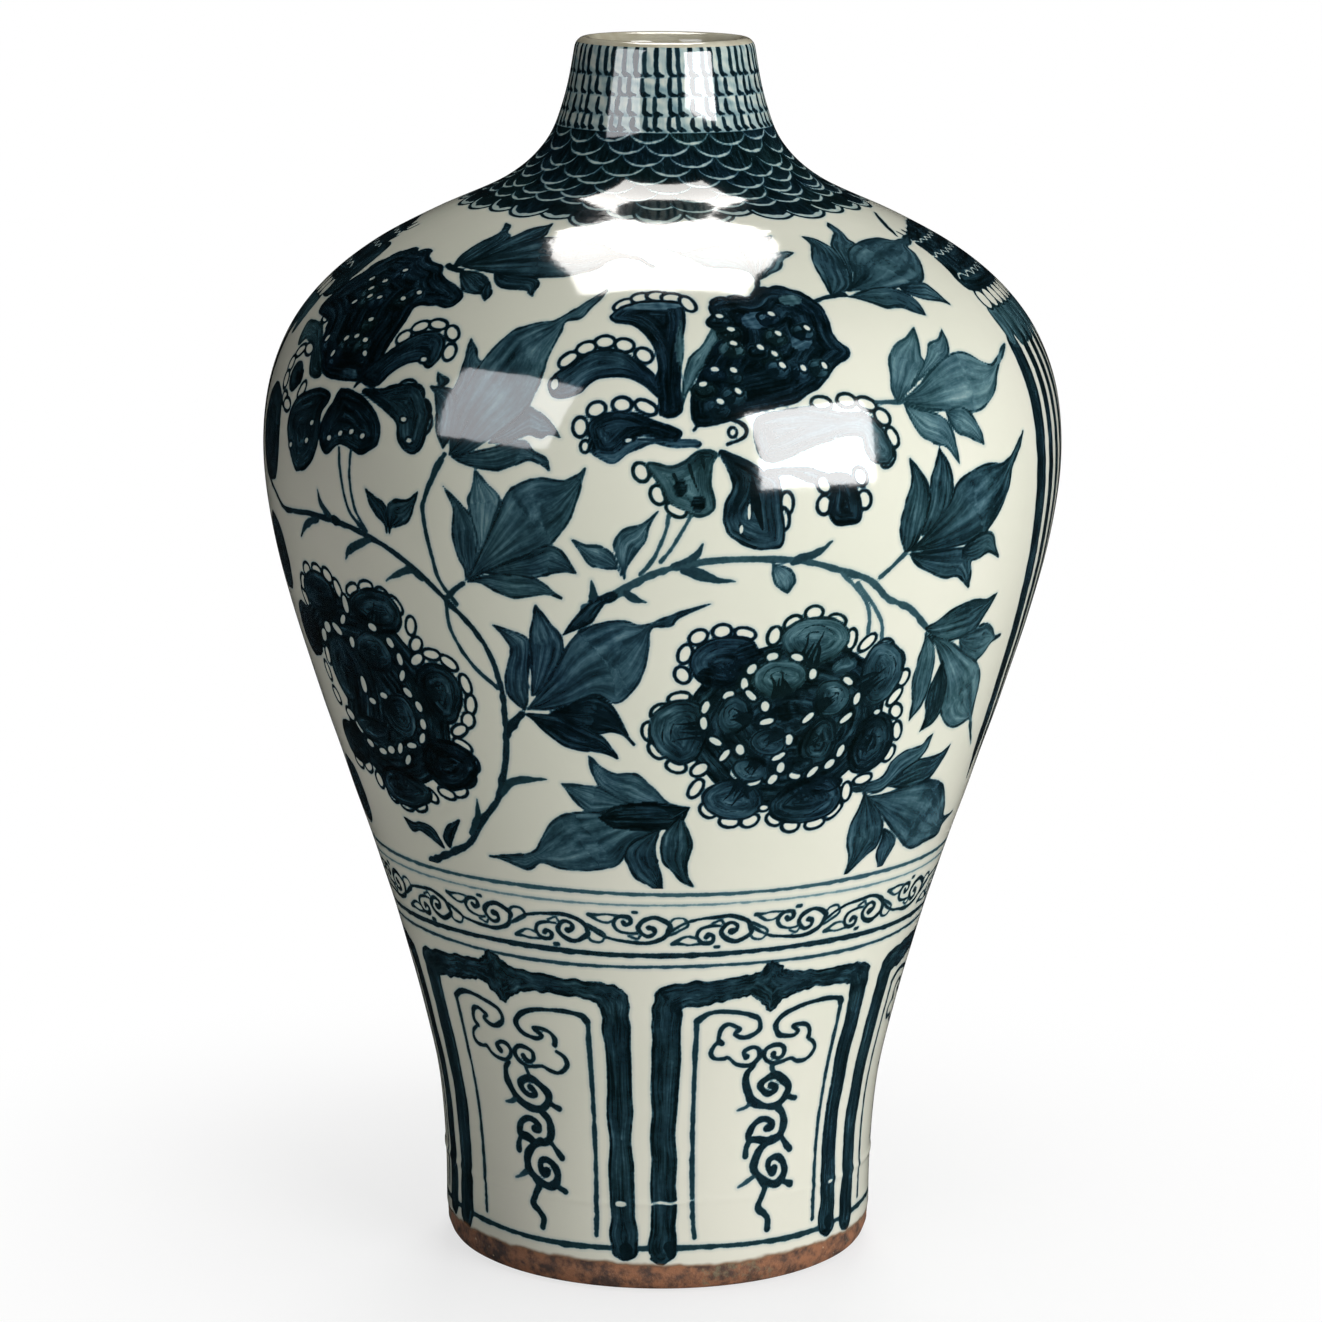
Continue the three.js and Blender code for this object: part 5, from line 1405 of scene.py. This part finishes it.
grit_made, grit_surface, grit_base = material("grit")
plug(grit_made.node_tree, grit_base.noise(900, 2).step(-0.2, 0.2).mix((0.10, 0.045, 0.02), (0.45, 0.30, 0.18)),
     grit_surface.inputs["Base Color"])
grit_surface.inputs["Roughness"].default_value = 0.8
grit = turned_piece("kiln_grit", [(73.2, 2.6), (73.75, 3.6), (74.2, 5.5), (74.25, 8.0), (74.0, 8.0), (73.6, 5.5),
                                  (73.0, 3.6)], 120, "biscuit", "foot_collar")
modifier = grit.modifiers.new("grit", "NODES")
modifier.node_group = tree
modifier[tree.interface.items_tree["Material"].identifier] = grit_made
baked = bpy.data.meshes.new_from_object(grit.evaluated_get(bpy.context.evaluated_depsgraph_get()))
grit.modifiers.clear()
grit.data = baked


# The floor and the light round it
# A white studio, with windows of light at the right, at the left and overhead, as their reflections show.
# The lamps that the glaze reflects are brighter than those that light it, as bare windows are.
def stage_material(name, color, strength=0.0):
    made = bpy.data.materials.new(name)
    made.use_nodes = True
    surface = made.node_tree.nodes["Principled BSDF"]
    surface.inputs["Base Color"].default_value = (*color, 1)
    surface.inputs["Roughness"].default_value = 1.0
    surface.inputs["Specular IOR Level"].default_value = 0.0
    return made, surface


def seen_directly(tree):
    """1 where a camera, glossy or transmission ray looks, else 0."""
    ray = tree.nodes.new("ShaderNodeLightPath")
    seen = Value(tree, ray.outputs["Is Camera Ray"]).most(Value(tree, ray.outputs["Is Glossy Ray"]))
    return seen.most(Value(tree, ray.outputs["Is Transmission Ray"]))


floor_made, floor_surface = stage_material("floor", (0.9, 0.9, 0.9))
tree = floor_made.node_tree
white = tree.nodes.new("ShaderNodeEmission")
white.inputs["Strength"].default_value = 1.0
place = tree.nodes.new("ShaderNodeNewGeometry")
length = tree.nodes.new("ShaderNodeVectorMath")
length.operation = "LENGTH"
tree.links.new(place.outputs["Position"], length.inputs[0])
away = Value(tree, length.outputs["Value"]).step(0.07, 0.34)
blend = tree.nodes.new("ShaderNodeMixShader")
plug(tree, seen_directly(tree) * (away * 0.3 + 0.7), blend.inputs[0])
tree.links.new(floor_surface.outputs[0], blend.inputs[1])
tree.links.new(white.outputs[0], blend.inputs[2])
tree.links.new(blend.outputs[0], tree.nodes["Material Output"].inputs["Surface"])
bpy.ops.mesh.primitive_plane_add(size=30, location=(0, 0, -0.0005))
floor = bpy.context.object
floor.name = "floor"
floor.data.materials.append(floor_made)

# black cloth round the set, which only reflections see, keeps the dark ink from turning grey
bpy.ops.mesh.primitive_cylinder_add(radius=3.2, depth=3.6, vertices=64, location=(0, 0, 1.7997))
cloth = bpy.context.object
cloth.name = "black_cloth"
cloth_made, _ = stage_material("black_cloth", (0.01, 0.01, 0.01))
cloth.data.materials.append(cloth_made)
for kind in ("camera", "diffuse", "transmission", "volume_scatter", "shadow"):
    setattr(cloth, f"visible_{kind}", False)


def softbox(name, place, size, power, glint=0.0, color=(1, 1, 1), aim=(0, 0, 0.25)):
    """A lamp that lights the vase with power, and one in the same place that it reflects with glint, in watts."""
    for kind, energy, hidden in (("light", power, "visible_glossy"), ("glint", glint, "visible_diffuse")):
        if not energy:
            continue
        light = bpy.data.lights.new(f"{name}_{kind}", "AREA")
        light.shape, light.size, light.size_y = "RECTANGLE", *size
        light.energy, light.color = energy, color
        lamp = bpy.data.objects.new(f"{name}_{kind}", light)
        bpy.context.scene.collection.objects.link(lamp)
        nearer = 0.02 if kind == "glint" else 0.0
        lamp.location = Vector(place) + (Vector(aim) - Vector(place)).normalized() * nearer
        lamp.rotation_euler = (Vector(aim) - Vector(place)).to_track_quat("-Z", "Y").to_euler()
        setattr(lamp, hidden, False)


softbox("right_window", (1.20, -1.28, 0.70), (1.1, 1.05), 22, 72)
softbox("low_right", (1.55, -1.55, 0.30), (0.8, 0.5), 9)
softbox("left_window", (-1.20, -1.08, 1.09), (1.1, 1.0), 1.5, 25, (0.95, 0.96, 1.0))
softbox("overhead", (0, 0.58, 1.73), (0.75, 0.8), 2.5, 24, (1.0, 0.97, 0.93))
softbox("high", (0.3, -0.6, 2.4), (1.0, 1.0), 14)
softbox("behind", (0.2, 1.8, 1.5), (0.8, 0.8), 24)

world = bpy.data.worlds.new("surroundings")
bpy.context.scene.world = world
world.use_nodes = True
tree = world.node_tree
seen = tree.nodes["Background"]
seen.inputs["Color"].default_value = (1, 1, 1, 1)
dim = tree.nodes.new("ShaderNodeBackground")
dim.inputs["Color"].default_value = (1, 1, 1, 1)
dim.inputs["Strength"].default_value = 0.08
blend = tree.nodes.new("ShaderNodeMixShader")
plug(tree, seen_directly(tree), blend.inputs[0])
tree.links.new(dim.outputs[0], blend.inputs[1])
tree.links.new(seen.outputs[0], blend.inputs[2])
tree.links.new(blend.outputs[0], tree.nodes["World Output"].inputs["Surface"])

# The camera
# It stands 1.58 m in front of the vase and 0.53 m above the table, and looks a little down.
# The vase leans a third of a degree to the right in the photograph, which is the camera's roll.
camera = bpy.data.objects.new("camera", bpy.data.cameras.new("camera"))
bpy.context.scene.collection.objects.link(camera)
camera.data.sensor_width = 36
camera.data.lens = 126.06
camera.data.clip_end = 50
pitch, roll = math.radians(90 - 11.57), math.radians(0.36)
camera.matrix_world = (
    Matrix.Translation((0, -1.578, 0.5276)) @ Matrix.Rotation(pitch, 4, "X") @ Matrix.Rotation(roll, 4, "Z")
)
bpy.context.scene.camera = camera

bpy.context.scene.view_settings.view_transform = "Standard"
